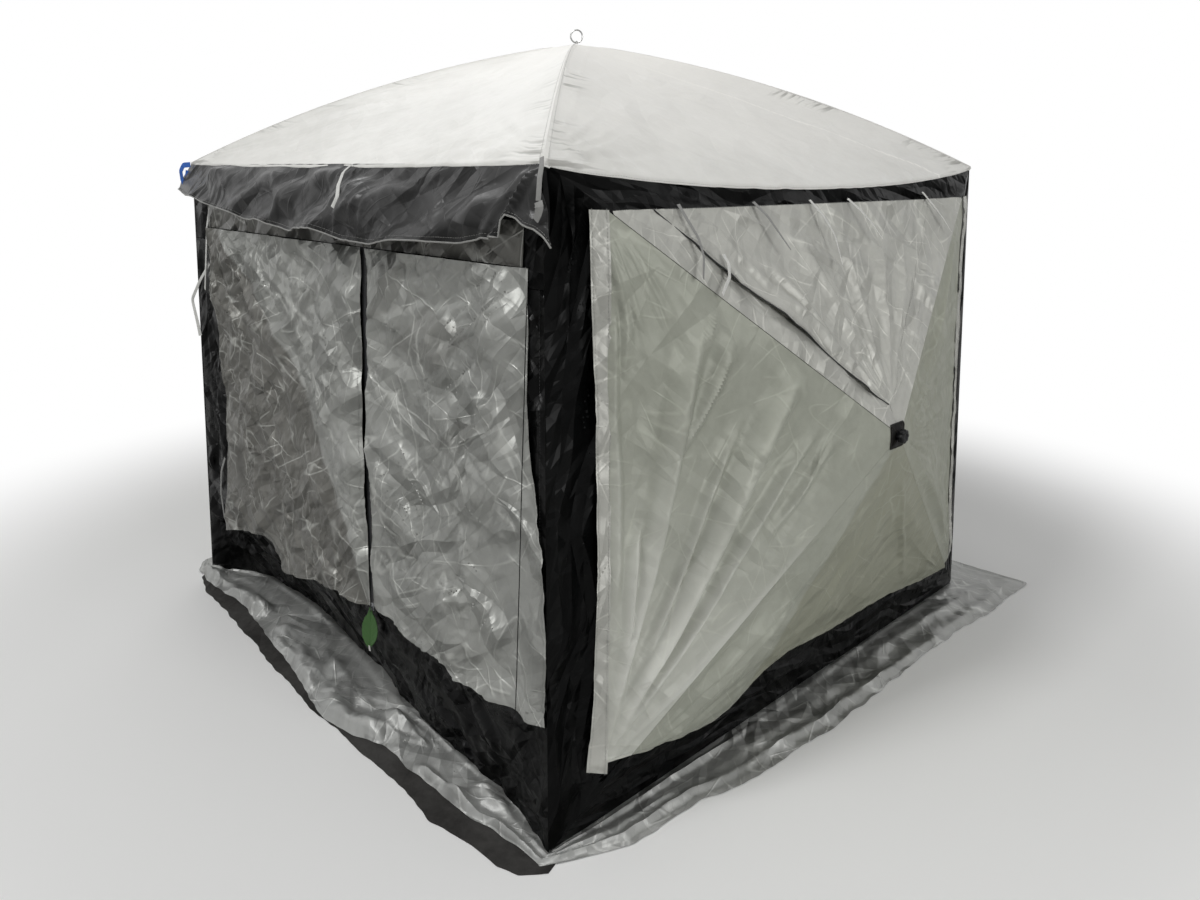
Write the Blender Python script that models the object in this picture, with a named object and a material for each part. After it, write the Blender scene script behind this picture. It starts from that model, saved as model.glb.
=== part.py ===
import math

import bmesh
import bpy
from mathutils import Matrix, Vector

# Overall sizes, in metres
eave_width = 1.96
base_width = 2.16
eave_height = 1.62
roof_rise = 0.38
roof_bow = 0.050
roof_sag = 0.050
wall_bulge = 0.300
hub_level = 0.89

# Fabric and clearances
fabric_thickness = 0.0016
cover_thickness = 0.0012
seam_gap = 0.0003
running_gap = 0.0006
side_band = 0.110
header_band = 0.100
base_band = 0.130
eave_overhang = 0.004
roof_flat = 0.060

# Hubs and poles
hub_radius = 0.036
hub_thickness = 0.016
boss_radius = 0.0190
boss_clearance = 0.0022
rim_clearance = 0.0020
cover_hole_radius = 0.071
bolt_radius = 0.004
bolt_length = 0.028
pivot_inset = 0.008
slot_relief = 0.0115
pole_radius = 0.0048
ferrule_radius = 0.0055
ferrule_length = 0.060
cap_radius = 0.0060
cap_length = 0.025
pin_radius = 0.0020
tip_room = 0.015
patch_lap = 0.0026
knob_radius = 0.018
knob_height = 0.016
knob_lobes = 8

# Top ring
flange_radius = 0.026
flange_thickness = 0.003
post_height = 0.017
ring_radius = 0.0200
ring_wire = 0.0025
eye_clearance = 0.0003
eye_wall = 0.0009
eye_crown = 0.0024

# Window flap
flap_left = 0.66
flap_right = 0.56
flap_foot_left = 0.045
flap_foot_right = 0.030
flap_foot_rise = 0.145

# Door
door_strip_left = 0.120
door_strip_right = 0.040
door_meeting = 0.246
door_header = 0.250
door_base = 0.320
hem_width = 0.012
hem_rise = 0.0008
door_hinge_level = hem_rise + seam_gap

# Zip slider and pull tab
slider_width = 0.014
slider_length = 0.024
slider_depth = 0.006
slider_rise = 0.030
tab_length = 0.125
tab_width = 0.034
tab_thickness = 0.0016
ear_width = 0.0020

# Door awning
awning_tilt = math.radians(28.0)
awning_bead = 0.0045
awning_drop = 0.006
awning_sag = 0.002
awning_hem = (
    (-1.020, 0.085),
    (-0.920, 0.112),
    (-0.715, 0.142),
    (-0.430, 0.175),
    (-0.050, 0.202),
    (0.388, 0.218),
    (0.715, 0.205),
    (0.918, 0.165),
    (1.005, 0.060),
)

# Ground skirt
skirt_thickness = 0.002
skirt_inset = 0.030
skirt_side = 0.235
skirt_back = 0.260
skirt_front = 0.150
skirt_lift = 0.016
skirt_bead = 0.0045
skirt_stations = 14

# Derived sizes
half_eave = eave_width / 2
half_base = base_width / 2
panel_foot = skirt_thickness + seam_gap
up = Vector((0, 0, 1))
wall_lean = math.atan2(half_base - half_eave, eave_height - panel_foot)
wall_out = Vector((math.cos(wall_lean), 0, math.sin(wall_lean)))
hub_share = (hub_level - panel_foot) / (eave_height - panel_foot)
hub_foot = Vector((half_base - (half_base - half_eave) * hub_share, 0, hub_level))
wall_apex = hub_foot + wall_bulge * wall_out
corners = {
    "top_left": Vector((half_eave, -half_eave, eave_height)),
    "top_right": Vector((half_eave, half_eave, eave_height)),
    "bottom_right": Vector((half_base, half_base, panel_foot)),
    "bottom_left": Vector((half_base, -half_base, panel_foot)),
}
sides = {
    "top": ("top_left", "top_right"),
    "right": ("top_right", "bottom_right"),
    "bottom": ("bottom_right", "bottom_left"),
    "left": ("bottom_left", "top_left"),
}
side_order = ["top", "right", "bottom", "left"]
walls = {"right": 0, "back": 90, "left": 180}
facet_reaches = (
    (eave_height - hub_level) / math.cos(wall_lean),
    (hub_level - panel_foot) / math.cos(wall_lean),
    half_eave,
    half_base,
)
steepest = wall_bulge / min(facet_reaches)
shallowest = wall_bulge / max(facet_reaches)
skin_depth = fabric_thickness / math.cos(math.atan(steepest))
tip_cut = (boss_radius + boss_clearance) * steepest + skin_depth
boss_height = (hub_radius + rim_clearance) * steepest + skin_depth - tip_cut + rim_clearance
cover_tip_cut = cover_hole_radius * shallowest
patch_size = 2 * (tip_cut / shallowest + patch_lap)
pivot_radius = hub_radius - pivot_inset
pivot_depth = tip_cut + boss_height + hub_thickness / 2
tip_depth = (fabric_thickness + cap_radius + running_gap) / math.cos(math.atan(steepest)) + 0.0018
door_left = door_strip_left - min(half_eave, half_base)
door_right = min(half_eave, half_base) - door_strip_right
door_top = eave_height - door_header
door_bottom = door_base
slider_level = door_bottom + slider_rise
flap_foot_level = hub_level + flap_foot_rise
awning_reach = half_eave + awning_drop * math.tan(wall_lean)
ring_rise = ring_radius - math.sqrt(ring_radius**2 - (ring_wire + eye_wall + eye_clearance) ** 2)
eye_hole = ring_wire + ring_rise + eye_clearance
post_width = 2 * (eye_hole + eye_wall)
knob_reach = wall_apex.x + (fabric_thickness + knob_height) * wall_out.x
back_reach = max(knob_reach, half_base - skirt_inset + skirt_back)
front_reach = half_base - skirt_inset + skirt_front
centre_shift = Vector((0, (front_reach - back_reach) / 2, 0))
roof_top = eave_height + seam_gap + fabric_thickness + roof_rise

# Finishes: colour, metallic, roughness
finishes = {
    "roof_fabric": ((0.72, 0.75, 0.74), 0.10, 0.42),
    "silver_fabric": ((0.56, 0.60, 0.58), 0.35, 0.36),
    "black_fabric": ((0.020, 0.021, 0.022), 0.0, 0.55),
    "grey_fabric": ((0.085, 0.088, 0.092), 0.0, 0.35),
    "skirt_fabric": ((0.50, 0.53, 0.52), 0.30, 0.40),
    "black_plastic": ((0.014, 0.014, 0.015), 0.0, 0.40),
    "fibreglass": ((0.050, 0.050, 0.055), 0.0, 0.35),
    "steel": ((0.62, 0.63, 0.64), 1.0, 0.28),
    "zip_metal": ((0.35, 0.36, 0.37), 1.0, 0.35),
    "green_webbing": ((0.060, 0.260, 0.055), 0.0, 0.60),
}


def finish(name):
    colour, metallic, roughness = finishes[name]
    material = bpy.data.materials.new(name)
    material.use_nodes = True
    shader = material.node_tree.nodes["Principled BSDF"]
    shader.inputs["Base Color"].default_value = (*colour, 1)
    shader.inputs["Metallic"].default_value = metallic
    shader.inputs["Roughness"].default_value = roughness
    material.diffuse_color = (*colour, 1)
    return material


def place(name, mesh_builder, look, pivot, spin=0):
    """The mesh is turned about the vertical, moved to the common centre and given its pivot as origin."""
    mesh_builder.normal_update()
    turn = Matrix.Rotation(math.radians(spin), 4, "Z")
    move = Matrix.Translation(centre_shift)
    origin = move @ turn @ Vector(pivot)
    bmesh.ops.transform(
        mesh_builder, matrix=Matrix.Translation(-origin) @ move @ turn, verts=mesh_builder.verts
    )
    bmesh.ops.recalc_face_normals(mesh_builder, faces=mesh_builder.faces)
    mesh = bpy.data.meshes.new(name)
    mesh_builder.to_mesh(mesh)
    mesh_builder.free()
    mesh.materials.append(finish(look))
    piece = bpy.data.objects.new(name, mesh)
    piece.location = origin
    bpy.context.scene.collection.objects.link(piece)
    return piece


def join(first, second, operation):
    """The first mesh joined with, or cut by, the second."""
    holders = []
    for index, builder in enumerate((first, second)):
        bmesh.ops.recalc_face_normals(builder, faces=builder.faces)
        mesh = bpy.data.meshes.new(f"work_{index}")
        builder.to_mesh(mesh)
        builder.free()
        holder = bpy.data.objects.new(f"work_{index}", mesh)
        bpy.context.scene.collection.objects.link(holder)
        holders.append(holder)
    modifier = holders[0].modifiers.new("work", "BOOLEAN")
    modifier.operation = operation
    modifier.solver = "EXACT"
    modifier.object = holders[1]
    bpy.context.view_layer.update()
    graph = bpy.context.evaluated_depsgraph_get()
    made = bpy.data.meshes.new_from_object(holders[0].evaluated_get(graph))
    result = bmesh.new()
    result.from_mesh(made)
    bmesh.ops.remove_doubles(result, verts=result.verts, dist=0.00001)
    bpy.data.meshes.remove(made)
    for holder in holders:
        mesh = holder.data
        bpy.data.objects.remove(holder)
        bpy.data.meshes.remove(mesh)
    return result


def cell(planes, centre, reach=5.0):
    """A convex solid: what is left of a block behind each (point, outward normal) plane."""
    builder = bmesh.new()
    bmesh.ops.create_cube(builder, size=reach, matrix=Matrix.Translation(centre))
    for point, normal in planes:
        everything = builder.verts[:] + builder.edges[:] + builder.faces[:]
        cut = bmesh.ops.bisect_plane(
            builder, geom=everything, plane_co=point, plane_no=normal, clear_outer=True
        )
        rim = [item for item in cut["geom_cut"] if isinstance(item, bmesh.types.BMEdge)]
        if len(rim) > 2:
            bmesh.ops.edgeloop_fill(builder, edges=rim)
    return builder


def block(size, centre, frame=None):
    builder = bmesh.new()
    scale = Matrix.Diagonal((*size, 1))
    bmesh.ops.create_cube(builder, size=1, matrix=Matrix.Translation(centre) @ scale)
    if frame:
        bmesh.ops.transform(builder, matrix=frame, verts=builder.verts)
    return builder


def cut_alike(builder, around):
    """Two triangles from the corner furthest along one way, so that both sides of a thin sheet are cut alike."""
    far = max(range(4), key=lambda k: around[k].co.dot(Vector((0.83, 0.55, 0.07))))
    first, second, third, fourth = around[far:] + around[:far]
    builder.faces.new((first, second, third))
    builder.faces.new((first, third, fourth))


def loft(rings, closed_round=False, thin=False):
    """A skin over rings of equal point counts; each ring is a closed outline."""
    builder = bmesh.new()
    rows = [[builder.verts.new(point) for point in ring] for ring in rings]
    count = len(rows[0])
    pairs = list(zip(rows, rows[1:]))
    if closed_round:
        pairs.append((rows[-1], rows[0]))
    for here, there in pairs:
        for i in range(count):
            j = (i + 1) % count
            around = [here[i], here[j], there[j], there[i]]
            if thin:
                cut_alike(builder, around)
            else:
                builder.faces.new(around)
    if not closed_round:
        builder.faces.new(rows[0])
        builder.faces.new(rows[-1])
    bmesh.ops.recalc_face_normals(builder, faces=builder.faces)
    return builder


def revolve(profile, sides, frame):
    """A solid turned about the local Z axis; the profile runs (radius, height) between two axis points."""
    rings = []
    for radius, height in profile:
        ring = []
        for i in range(sides):
            angle = math.tau * i / sides
            ring.append(frame @ Vector((radius * math.cos(angle), radius * math.sin(angle), height)))
        rings.append(ring)
    return loft(rings)


def frame_of(origin, x_axis, z_axis):
    """A placing matrix from an origin and two directions at right angles."""
    x = Vector(x_axis).normalized()
    z = Vector(z_axis).normalized()
    y = z.cross(x)
    return Matrix.Translation(origin) @ Matrix((x, y, z)).transposed().to_4x4()


def facet_normal(side):
    first, second = sides[side]
    normal = (corners[first] - wall_apex).cross(corners[second] - wall_apex).normalized()
    return normal if normal.dot(wall_out) > 0 else -normal


def facet_outward(side):
    """The direction in the facet from its apex square to its outer edge."""
    first, second = sides[side]
    along = (corners[second] - corners[first]).normalized()
    reach = corners[first] - wall_apex
    return (reach - reach.dot(along) * along).normalized()


def ridge_plane(side, neighbour, corner):
    """The plane between two facets along the pole that they share, facing away from the first."""
    along = corners[corner] - wall_apex
    normal = along.cross(facet_normal(side) + facet_normal(neighbour)).normalized()
    if normal.dot(facet_outward(side)) > 0:
        normal = -normal
    point = wall_apex - normal * seam_gap / 2
    return point, normal


def facet_planes(side):
    index = side_order.index(side)
    first, second = sides[side]
    before = side_order[index - 1]
    after = side_order[(index + 1) % 4]
    return [ridge_plane(side, before, first), ridge_plane(side, after, second)]


def corner_planes():
    """The upright planes through the tent's corner seams, on which adjoining walls meet."""
    normals = [Vector((-1, way, 0)).normalized() for way in (-1, 1)]
    return [(-normal * seam_gap / 2, normal) for normal in normals]


def sheet_planes(side, inner, outer):
    normal = facet_normal(side)
    return [(wall_apex + normal * outer, normal), (wall_apex + normal * inner, -normal)]


def hemmed(builder, normal, rim, rise):
    """The sheet's outer face gets a sewn border, raised round a flat field."""
    builder.normal_update()
    face = max(builder.faces, key=lambda f: f.normal.dot(normal) * f.calc_area())
    bmesh.ops.inset_region(builder, faces=[face], thickness=rim, use_even_offset=True)
    builder.normal_update()
    bmesh.ops.inset_region(builder, faces=[face], thickness=rise, use_even_offset=True)
    bmesh.ops.translate(builder, verts=face.verts, vec=-Vector(normal) * rise)
    return builder


def wall_panel(wall, side):
    first = sides[side][0]
    planes = sheet_planes(side, -fabric_thickness, 0) + facet_planes(side)
    planes.append((wall_apex - tip_cut * wall_out, wall_out))
    planes += corner_planes()
    planes.append((Vector((0, 0, eave_height)), up))
    planes.append((Vector((0, 0, panel_foot)), -up))
    builder = cell(planes, wall_apex)
    place(f"{wall}_wall_panel_{side}", builder, "black_fabric", corners[first], walls[wall])


def wind_cover(wall, side):
    """The silver cover that lies on one facet, inside the black bands."""
    first = sides[side][0]
    outward = facet_outward(side)
    normal = facet_normal(side)
    planes = sheet_planes(side, seam_gap, seam_gap + cover_thickness) + facet_planes(side)
    planes.append((wall_apex - cover_tip_cut * wall_out, wall_out))
    band = base_band if side == "bottom" else side_band
    planes.append((corners[first] - band * outward, outward))
    if side != "bottom":
        planes.append((Vector((0, 0, eave_height - header_band)), up))
        planes.append((Vector((0, 0, base_band + panel_foot)), -up))
    builder = cell(planes, wall_apex)
    hemmed(builder, normal, hem_width, hem_rise)
    place(f"{wall}_wall_cover_{side}", builder, "silver_fabric", corners[first], walls[wall])


def facet_point(side, y, z):
    """The point of a facet's outer surface at a width and a height."""
    normal = facet_normal(side)
    x = wall_apex.x - (normal.y * (y - wall_apex.y) + normal.z * (z - wall_apex.z)) / normal.x
    return Vector((x, y, z))


def window_flap(wall):
    """The flap over the window in the top facet; it hinges on its upper edge."""
    normal = facet_normal("top")
    level = eave_height - header_band
    outline = [
        facet_point("top", -flap_left, level),
        facet_point("top", flap_right, level),
        facet_point("top", flap_foot_right, flap_foot_level),
        facet_point("top", -flap_foot_left, flap_foot_level),
    ]
    planes = sheet_planes("top", seam_gap, seam_gap + cover_thickness)
    middle = sum(outline, Vector()) / 4
    for i in range(4):
        here, there = outline[i], outline[(i + 1) % 4]
        side = (there - here).cross(normal).normalized()
        if side.dot(middle - here) > 0:
            side = -side
        planes.append((here, side))
    builder = cell(planes, wall_apex)
    hemmed(builder, normal, hem_width, hem_rise)
    place(f"{wall}_wall_window_flap", builder, "silver_fabric", outline[0], walls[wall])


def pole_direction(corner):
    """The way from the hub to a corner, in the plane of the wall's four corners."""
    reach = corners[corner] - hub_foot
    return (reach - reach.dot(wall_out) * wall_out).normalized()


def rod(points, radii, side_way, count=8):
    """A rod through points that lie in one plane; side_way is square to that plane."""
    rings = []
    for i, point in enumerate(points):
        before = points[max(i - 1, 0)]
        after = points[min(i + 1, len(points) - 1)]
        along = (after - before).normalized()
        rise = along.cross(side_way).normalized()
        ring = []
        for k in range(count):
            angle = math.tau * (k + 0.5) / count
            ring.append(point + radii[i] * (math.cos(angle) * side_way + math.sin(angle) * rise))
        rings.append(ring)
    return loft(rings)


def drilled(builder, centre, direction, radius, length):
    """The solid with a round hole through it."""
    side = direction.orthogonal()
    hole_frame = frame_of(centre - direction * length / 2, side, direction)
    drill = revolve([(radius, 0), (radius, length)], 10, hole_frame)
    return join(builder, drill, "DIFFERENCE")


def straight_pole(name, pivot, tip, side_way, spin):
    """A fibreglass pole: an end fitting on the hub's pin, a middle ferrule and a tip cap."""
    along = (tip - pivot).normalized()
    length = (tip - pivot).length
    middle = length / 2
    step = 0.0015
    stations = [
        (-0.0065, ferrule_radius),
        (ferrule_length, ferrule_radius),
        (ferrule_length + step, pole_radius),
        (middle - ferrule_length / 2, pole_radius),
        (middle - ferrule_length / 2 + step, ferrule_radius),
        (middle + ferrule_length / 2, ferrule_radius),
        (middle + ferrule_length / 2 + step, pole_radius),
        (length - cap_length, pole_radius),
        (length - cap_length + step, cap_radius),
        (length - 0.002, cap_radius),
        (length, cap_radius * 0.7),
    ]
    points = [pivot + along * distance for distance, _ in stations]
    builder = rod(points, [radius for _, radius in stations], side_way)
    builder = drilled(builder, pivot, side_way, pin_radius + seam_gap, 0.04)
    place(name, builder, "fibreglass", pivot, spin)


def swing_overshoot(reach, rise):
    """How far a straight pole's tip moves outwards as its hub passes through the plane of the corners."""
    return rise * rise / (2 * reach)


def wall_pole_ends(corner):
    """The pivot and tip of a wall pole, on the inner side of the fabric."""
    way = pole_direction(corner)
    reach = (corners[corner] - hub_foot).length
    pivot = wall_apex - pivot_depth * wall_out + pivot_radius * way
    along = reach - swing_overshoot(reach, wall_bulge) - tip_room
    level = wall_bulge * (1 - along / reach) - tip_depth
    tip = hub_foot + along * way + level * wall_out
    return pivot, tip


def wall_pole(wall, corner):
    pivot, tip = wall_pole_ends(corner)
    side_way = pole_direction(corner).cross(wall_out).normalized()
    straight_pole(f"{wall}_wall_pole_{corner}", pivot, tip, side_way, walls[wall])


def hub(name, origin, outward, ways, spin=0):
    """A moulded hub: a boss through the fabric, and a disc with a slot and a pin for each pole."""
    base = frame_of(origin, ways[0], outward)
    front = -boss_height
    back = front - hub_thickness
    profile = [
        (boss_radius, 0),
        (boss_radius, front),
        (hub_radius - 0.002, front),
        (hub_radius, front - 0.002),
        (hub_radius, back + 0.004),
        (hub_radius - 0.004, back),
        (0.014, back),
        (0.012, back - 0.006),
    ]
    builder = revolve(profile, 28, base)
    depth = hub_thickness / 2 - front
    slot_width = 2 * (ferrule_radius + running_gap)
    slot_start = pivot_radius - slot_relief
    for way in ways:
        spot = frame_of(origin, way, outward)
        length = hub_radius + 0.01 - slot_start
        centre = (slot_start + length / 2, 0, -depth - 0.001)
        slot = block((length, slot_width, hub_thickness + 0.004), centre, spot)
        builder = join(builder, slot, "DIFFERENCE")
    for way in ways:
        side_way = way.cross(outward).normalized()
        half = slot_width / 2 + 0.002
        start = origin + way * pivot_radius - outward * depth - side_way * half
        pin = revolve([(pin_radius, 0), (pin_radius, 2 * half)], 8, frame_of(start, way, side_way))
        builder = join(builder, pin, "UNION")
    builder = drilled(builder, origin - outward * 0.01, outward, bolt_radius + seam_gap, 0.08)
    place(name, builder, "black_plastic", origin, spin)


def wall_hub(wall):
    origin = wall_apex - tip_cut * wall_out
    ways = [pole_direction(corner) for corner in corners]
    hub(f"{wall}_wall_hub", origin, wall_out, ways, walls[wall])


def wall_patch(wall):
    """A square plate of doubled fabric, clamped between the hub and the knob."""
    origin = wall_apex - (tip_cut - seam_gap) * wall_out
    spot = frame_of(origin, Vector((0, 1, 0)), wall_out)
    centre = (0, 0, fabric_thickness / 2)
    builder = block((patch_size, patch_size, fabric_thickness), centre, spot)
    bmesh.ops.bevel(
        builder,
        geom=[e for e in builder.edges if abs((e.verts[0].co - e.verts[1].co).normalized().dot(wall_out)) > 0.9],
        offset=0.006,
        segments=2,
        affect="EDGES",
    )
    builder = drilled(builder, origin, wall_out, bolt_radius + seam_gap, 0.04)
    place(f"{wall}_wall_patch", builder, "black_fabric", origin, walls[wall])


def wall_knob(wall):
    """A lobed knob on a stud that goes through the patch into the hub."""
    origin = wall_apex - (tip_cut - 2 * seam_gap - fabric_thickness) * wall_out
    spot = frame_of(origin, Vector((0, 1, 0)), wall_out)
    sides_round = knob_lobes * 3
    profile = [
        (bolt_radius, -bolt_length, 0),
        (bolt_radius, 0, 0),
        (knob_radius - 0.003, 0, 0),
        (knob_radius - 0.002, 0.003, 0.4),
        (knob_radius, 0.006, 1),
        (knob_radius, knob_height - 0.004, 1),
        (knob_radius - 0.003, knob_height, 0.5),
        (0.009, knob_height, 0),
        (0.007, knob_height - 0.002, 0),
    ]
    rings = []
    for radius, height, lobe in profile:
        ring = []
        for i in range(sides_round):
            angle = math.tau * i / sides_round
            reach = radius - lobe * 0.0013 * (1 - math.cos(knob_lobes * angle))
            ring.append(spot @ Vector((reach * math.cos(angle), reach * math.sin(angle), height)))
        rings.append(ring)
    place(f"{wall}_wall_knob", loft(rings), "black_plastic", origin, walls[wall])


def ridge_height(share):
    """The height of a roof ridge above the eave, from 0 at the corner to 1 at the top."""
    return roof_rise * share + roof_bow * 4 * share * (1 - share)


def roof_canopy():
    """One fabric dome of four gores, sagging a little between its ridges."""
    steps = 8
    per_side = 8
    hole = boss_radius + seam_gap
    outer_rings = []
    limit = 1 - roof_flat / half_eave
    lip = (eave_overhang + half_eave) / half_eave - 1
    for share in [-lip, lip] + [limit * i / steps for i in range(1, steps + 1)]:
        half = half_eave * (1 - share)
        climb = 0 if abs(share) == lip else share / limit
        drop = roof_sag * 4 * climb * (1 - climb)
        ring = []
        for side in range(4):
            for k in range(per_side):
                u = -1 + 2 * k / per_side
                rise = ridge_height(climb) - drop * (1 - u * u)
                height = eave_height + seam_gap + fabric_thickness + rise
                point = Matrix.Rotation(side * math.pi / 2, 4, "Z") @ Vector((half, u * half, 0))
                ring.append(Vector((point.x, point.y, height)))
        outer_rings.append(ring)
    ring = []
    for point in outer_rings[-1]:
        flat_way = Vector((point.x, point.y, 0)).normalized()
        ring.append(flat_way * hole + up * point.z)
    outer_rings.append(ring)
    inner_rings = [[point - up * fabric_thickness for point in ring] for ring in outer_rings]
    builder = loft(outer_rings + inner_rings[::-1], closed_round=True, thin=True)
    place("roof_canopy", builder, "roof_fabric", (0, 0, eave_height))


def roof_ways():
    return [Vector((x, y, 0)).normalized() for x, y in ((1, -1), (1, 1), (-1, 1), (-1, -1))]


def roof_pole_points(way):
    """The bowed centre line of a roof pole, from its pivot to its tip."""
    start = pivot_radius
    full = half_eave * math.sqrt(2)
    end = full - swing_overshoot(full, roof_rise) - tip_room
    hub_drop = boss_height + hub_thickness / 2
    limit = 1 - roof_flat / half_eave
    points = []
    for i in range(15):
        share = i / 14
        radius = start + (end - start) * share
        height = ridge_height(min((1 - radius / full) / limit, 1))
        drop = hub_drop + (tip_depth + 0.0012 - hub_drop) * min(share * 1.6, 1)
        points.append(way * radius + up * (eave_height + seam_gap + fabric_thickness + height - drop))
    return points


def roof_pole(index, way):
    points = roof_pole_points(way)
    side_way = way.cross(up).normalized()
    inner = points[0] + (points[0] - points[1]).normalized() * 0.0065
    line = [inner, points[0]] + points[1:]
    radii = [ferrule_radius, ferrule_radius, ferrule_radius] + [pole_radius] * (len(points) - 4)
    radii += [cap_radius * 0.95, cap_radius * 0.7]
    radii[7] = ferrule_radius
    radii[8] = ferrule_radius
    builder = rod(line, radii, side_way)
    builder = drilled(builder, points[0], side_way, pin_radius + seam_gap, 0.04)
    names = ["front_right", "back_right", "back_left", "front_left"]
    place(f"roof_pole_{names[index]}", builder, "fibreglass", points[0])


def roof_eye():
    """An eye bolt: a flange over the canopy's hole, a stud into the hub and an eyed post."""
    base = roof_top + seam_gap
    spot = Matrix.Translation((0, 0, base))
    profile = [
        (bolt_radius, -bolt_length),
        (bolt_radius, 0),
        (flange_radius, 0),
        (flange_radius, flange_thickness * 0.6),
        (flange_radius - 0.003, flange_thickness),
        (post_width / 2 + 0.003, flange_thickness),
        (post_width / 2, flange_thickness + 0.003),
        (post_width / 2, flange_thickness + post_height - 0.002),
        (post_width / 2 - 0.0015, flange_thickness + post_height),
    ]
    builder = revolve(profile, 24, spot)
    level = base + flange_thickness + post_height - eye_hole - eye_crown
    builder = drilled(builder, Vector((0, 0, level)), Vector((1, 0, 0)), eye_hole, 0.04)
    place("roof_eye_bolt", builder, "steel", (0, 0, base), 45)
    return level


def roof_ring(level):
    """The hanging ring, standing up through the eye."""
    rings = []
    for i in range(24):
        angle = math.tau * i / 24
        middle = Vector((ring_radius * math.sin(angle), 0, level + ring_radius - ring_radius * math.cos(angle)))
        outward = Vector((math.sin(angle), 0, -math.cos(angle)))
        ring = []
        for k in range(8):
            turn = math.tau * k / 8
            ring.append(middle + ring_wire * (math.cos(turn) * outward + math.sin(turn) * Vector((0, 1, 0))))
        rings.append(ring)
    place("roof_ring", loft(rings, closed_round=True), "steel", (0, 0, level), 45)


def door_frame_matrix():
    """X runs along the door wall, Y down it and Z out of it, from the middle of the eave."""
    down = Vector((0, -(half_base - half_eave), panel_foot - eave_height)).normalized()
    across = Vector((1, 0, 0))
    outward = across.cross(down).normalized()
    if outward.y > 0:
        outward = -outward
    matrix = Matrix((across, down, outward)).transposed().to_4x4()
    return Matrix.Translation((0, -half_eave, eave_height)) @ matrix


def door_down(level):
    """The distance down the leaning door wall to a height."""
    return (eave_height - level) / math.cos(wall_lean)


def door_surround():
    """The black wall round the door: side strips, header and tall base band, in one sheet."""
    spot = door_frame_matrix()
    foot = door_down(panel_foot)
    shrink = seam_gap
    outer = [
        (-half_eave + shrink, 0),
        (half_eave - shrink, 0),
        (half_base - shrink, foot),
        (-half_base + shrink, foot),
    ]
    inner = [
        (door_left, door_down(door_top)),
        (door_right, door_down(door_top)),
        (door_right, door_down(door_bottom)),
        (door_left, door_down(door_bottom)),
    ]
    rim = 0.008
    grown = [(x + sx * rim, s + sy * rim) for (x, s), (sx, sy) in zip(inner, ((-1, -1), (1, -1), (1, 1), (-1, 1)))]
    rise = fabric_thickness * math.tan(wall_lean)
    slim = [(x - math.copysign(fabric_thickness, x), s - (rise if s else 0)) for x, s in outer]
    loops = [
        (outer, 0),
        (grown, 0),
        (grown, hem_rise),
        (inner, hem_rise),
        (inner, -fabric_thickness),
        (slim, -fabric_thickness),
    ]
    rings = [[spot @ Vector((x, s, level)) for x, s in points] for points, level in loops]
    builder = loft(rings, closed_round=True)
    place("door_surround", builder, "black_fabric", (0, -half_eave, eave_height))


def door_panel(name, left, right, hinge):
    spot = door_frame_matrix()
    turn = spot.to_3x3()
    across, down, outward = (turn @ Vector(v) for v in ((1, 0, 0), (0, 1, 0), (0, 0, 1)))
    top = door_down(door_top) + seam_gap
    bottom = door_down(door_bottom) - seam_gap
    planes = [
        (spot @ Vector((left, 0, 0)), -across),
        (spot @ Vector((right, 0, 0)), across),
        (spot @ Vector((0, top, 0)), -down),
        (spot @ Vector((0, bottom, 0)), down),
        (spot @ Vector((0, 0, 0)), outward),
        (spot @ Vector((0, 0, -fabric_thickness)), -outward),
    ]
    builder = cell(planes, spot @ Vector((0, 0.8, 0)))
    hemmed(builder, outward, hem_width * 1.5, hem_rise)
    place(name, builder, "silver_fabric", spot @ Vector((hinge, (top + bottom) / 2, door_hinge_level)))


def zip_slider():
    """The slider on the door's meeting edge, with two ears and a pin for the pull tab."""
    spot = door_frame_matrix()
    s = door_down(slider_level)
    x = door_meeting + slider_width / 2 + 0.001
    half, tall, deep = slider_width / 2, slider_length / 2, slider_depth
    outline = [(-half, -tall), (half, -tall), (half * 0.75, tall), (-half * 0.75, tall)]
    rings = []
    for level, scale in ((seam_gap, 0.92), (seam_gap + 0.001, 1.0), (deep - 0.0012, 1.0), (deep, 0.85)):
        rings.append([spot @ Vector((x + a * scale, s + b * scale, level)) for a, b in outline])
    builder = loft(rings)
    ear_x = slider_width / 2 - ear_width
    for way in (-1, 1):
        centre = (x + way * (ear_x - 0.0010), s + tall * 0.35, deep + 0.0015)
        ear = block((ear_width, 0.008, 0.008), centre, spot)
        builder = join(builder, ear, "UNION")
    pin_at = Vector((x - ear_x, s + tall * 0.35, deep + 0.0032))
    start = spot @ pin_at
    across = (spot.to_3x3() @ Vector((1, 0, 0))).normalized()
    pin = revolve([(0.0012, 0), (0.0012, 2 * ear_x)], 10, frame_of(start, across.orthogonal(), across))
    builder = join(builder, pin, "UNION")
    place("zip_slider", builder, "zip_metal", spot @ Vector((x, s, 0)))
    return Vector((x, pin_at.y, pin_at.z))


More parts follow.
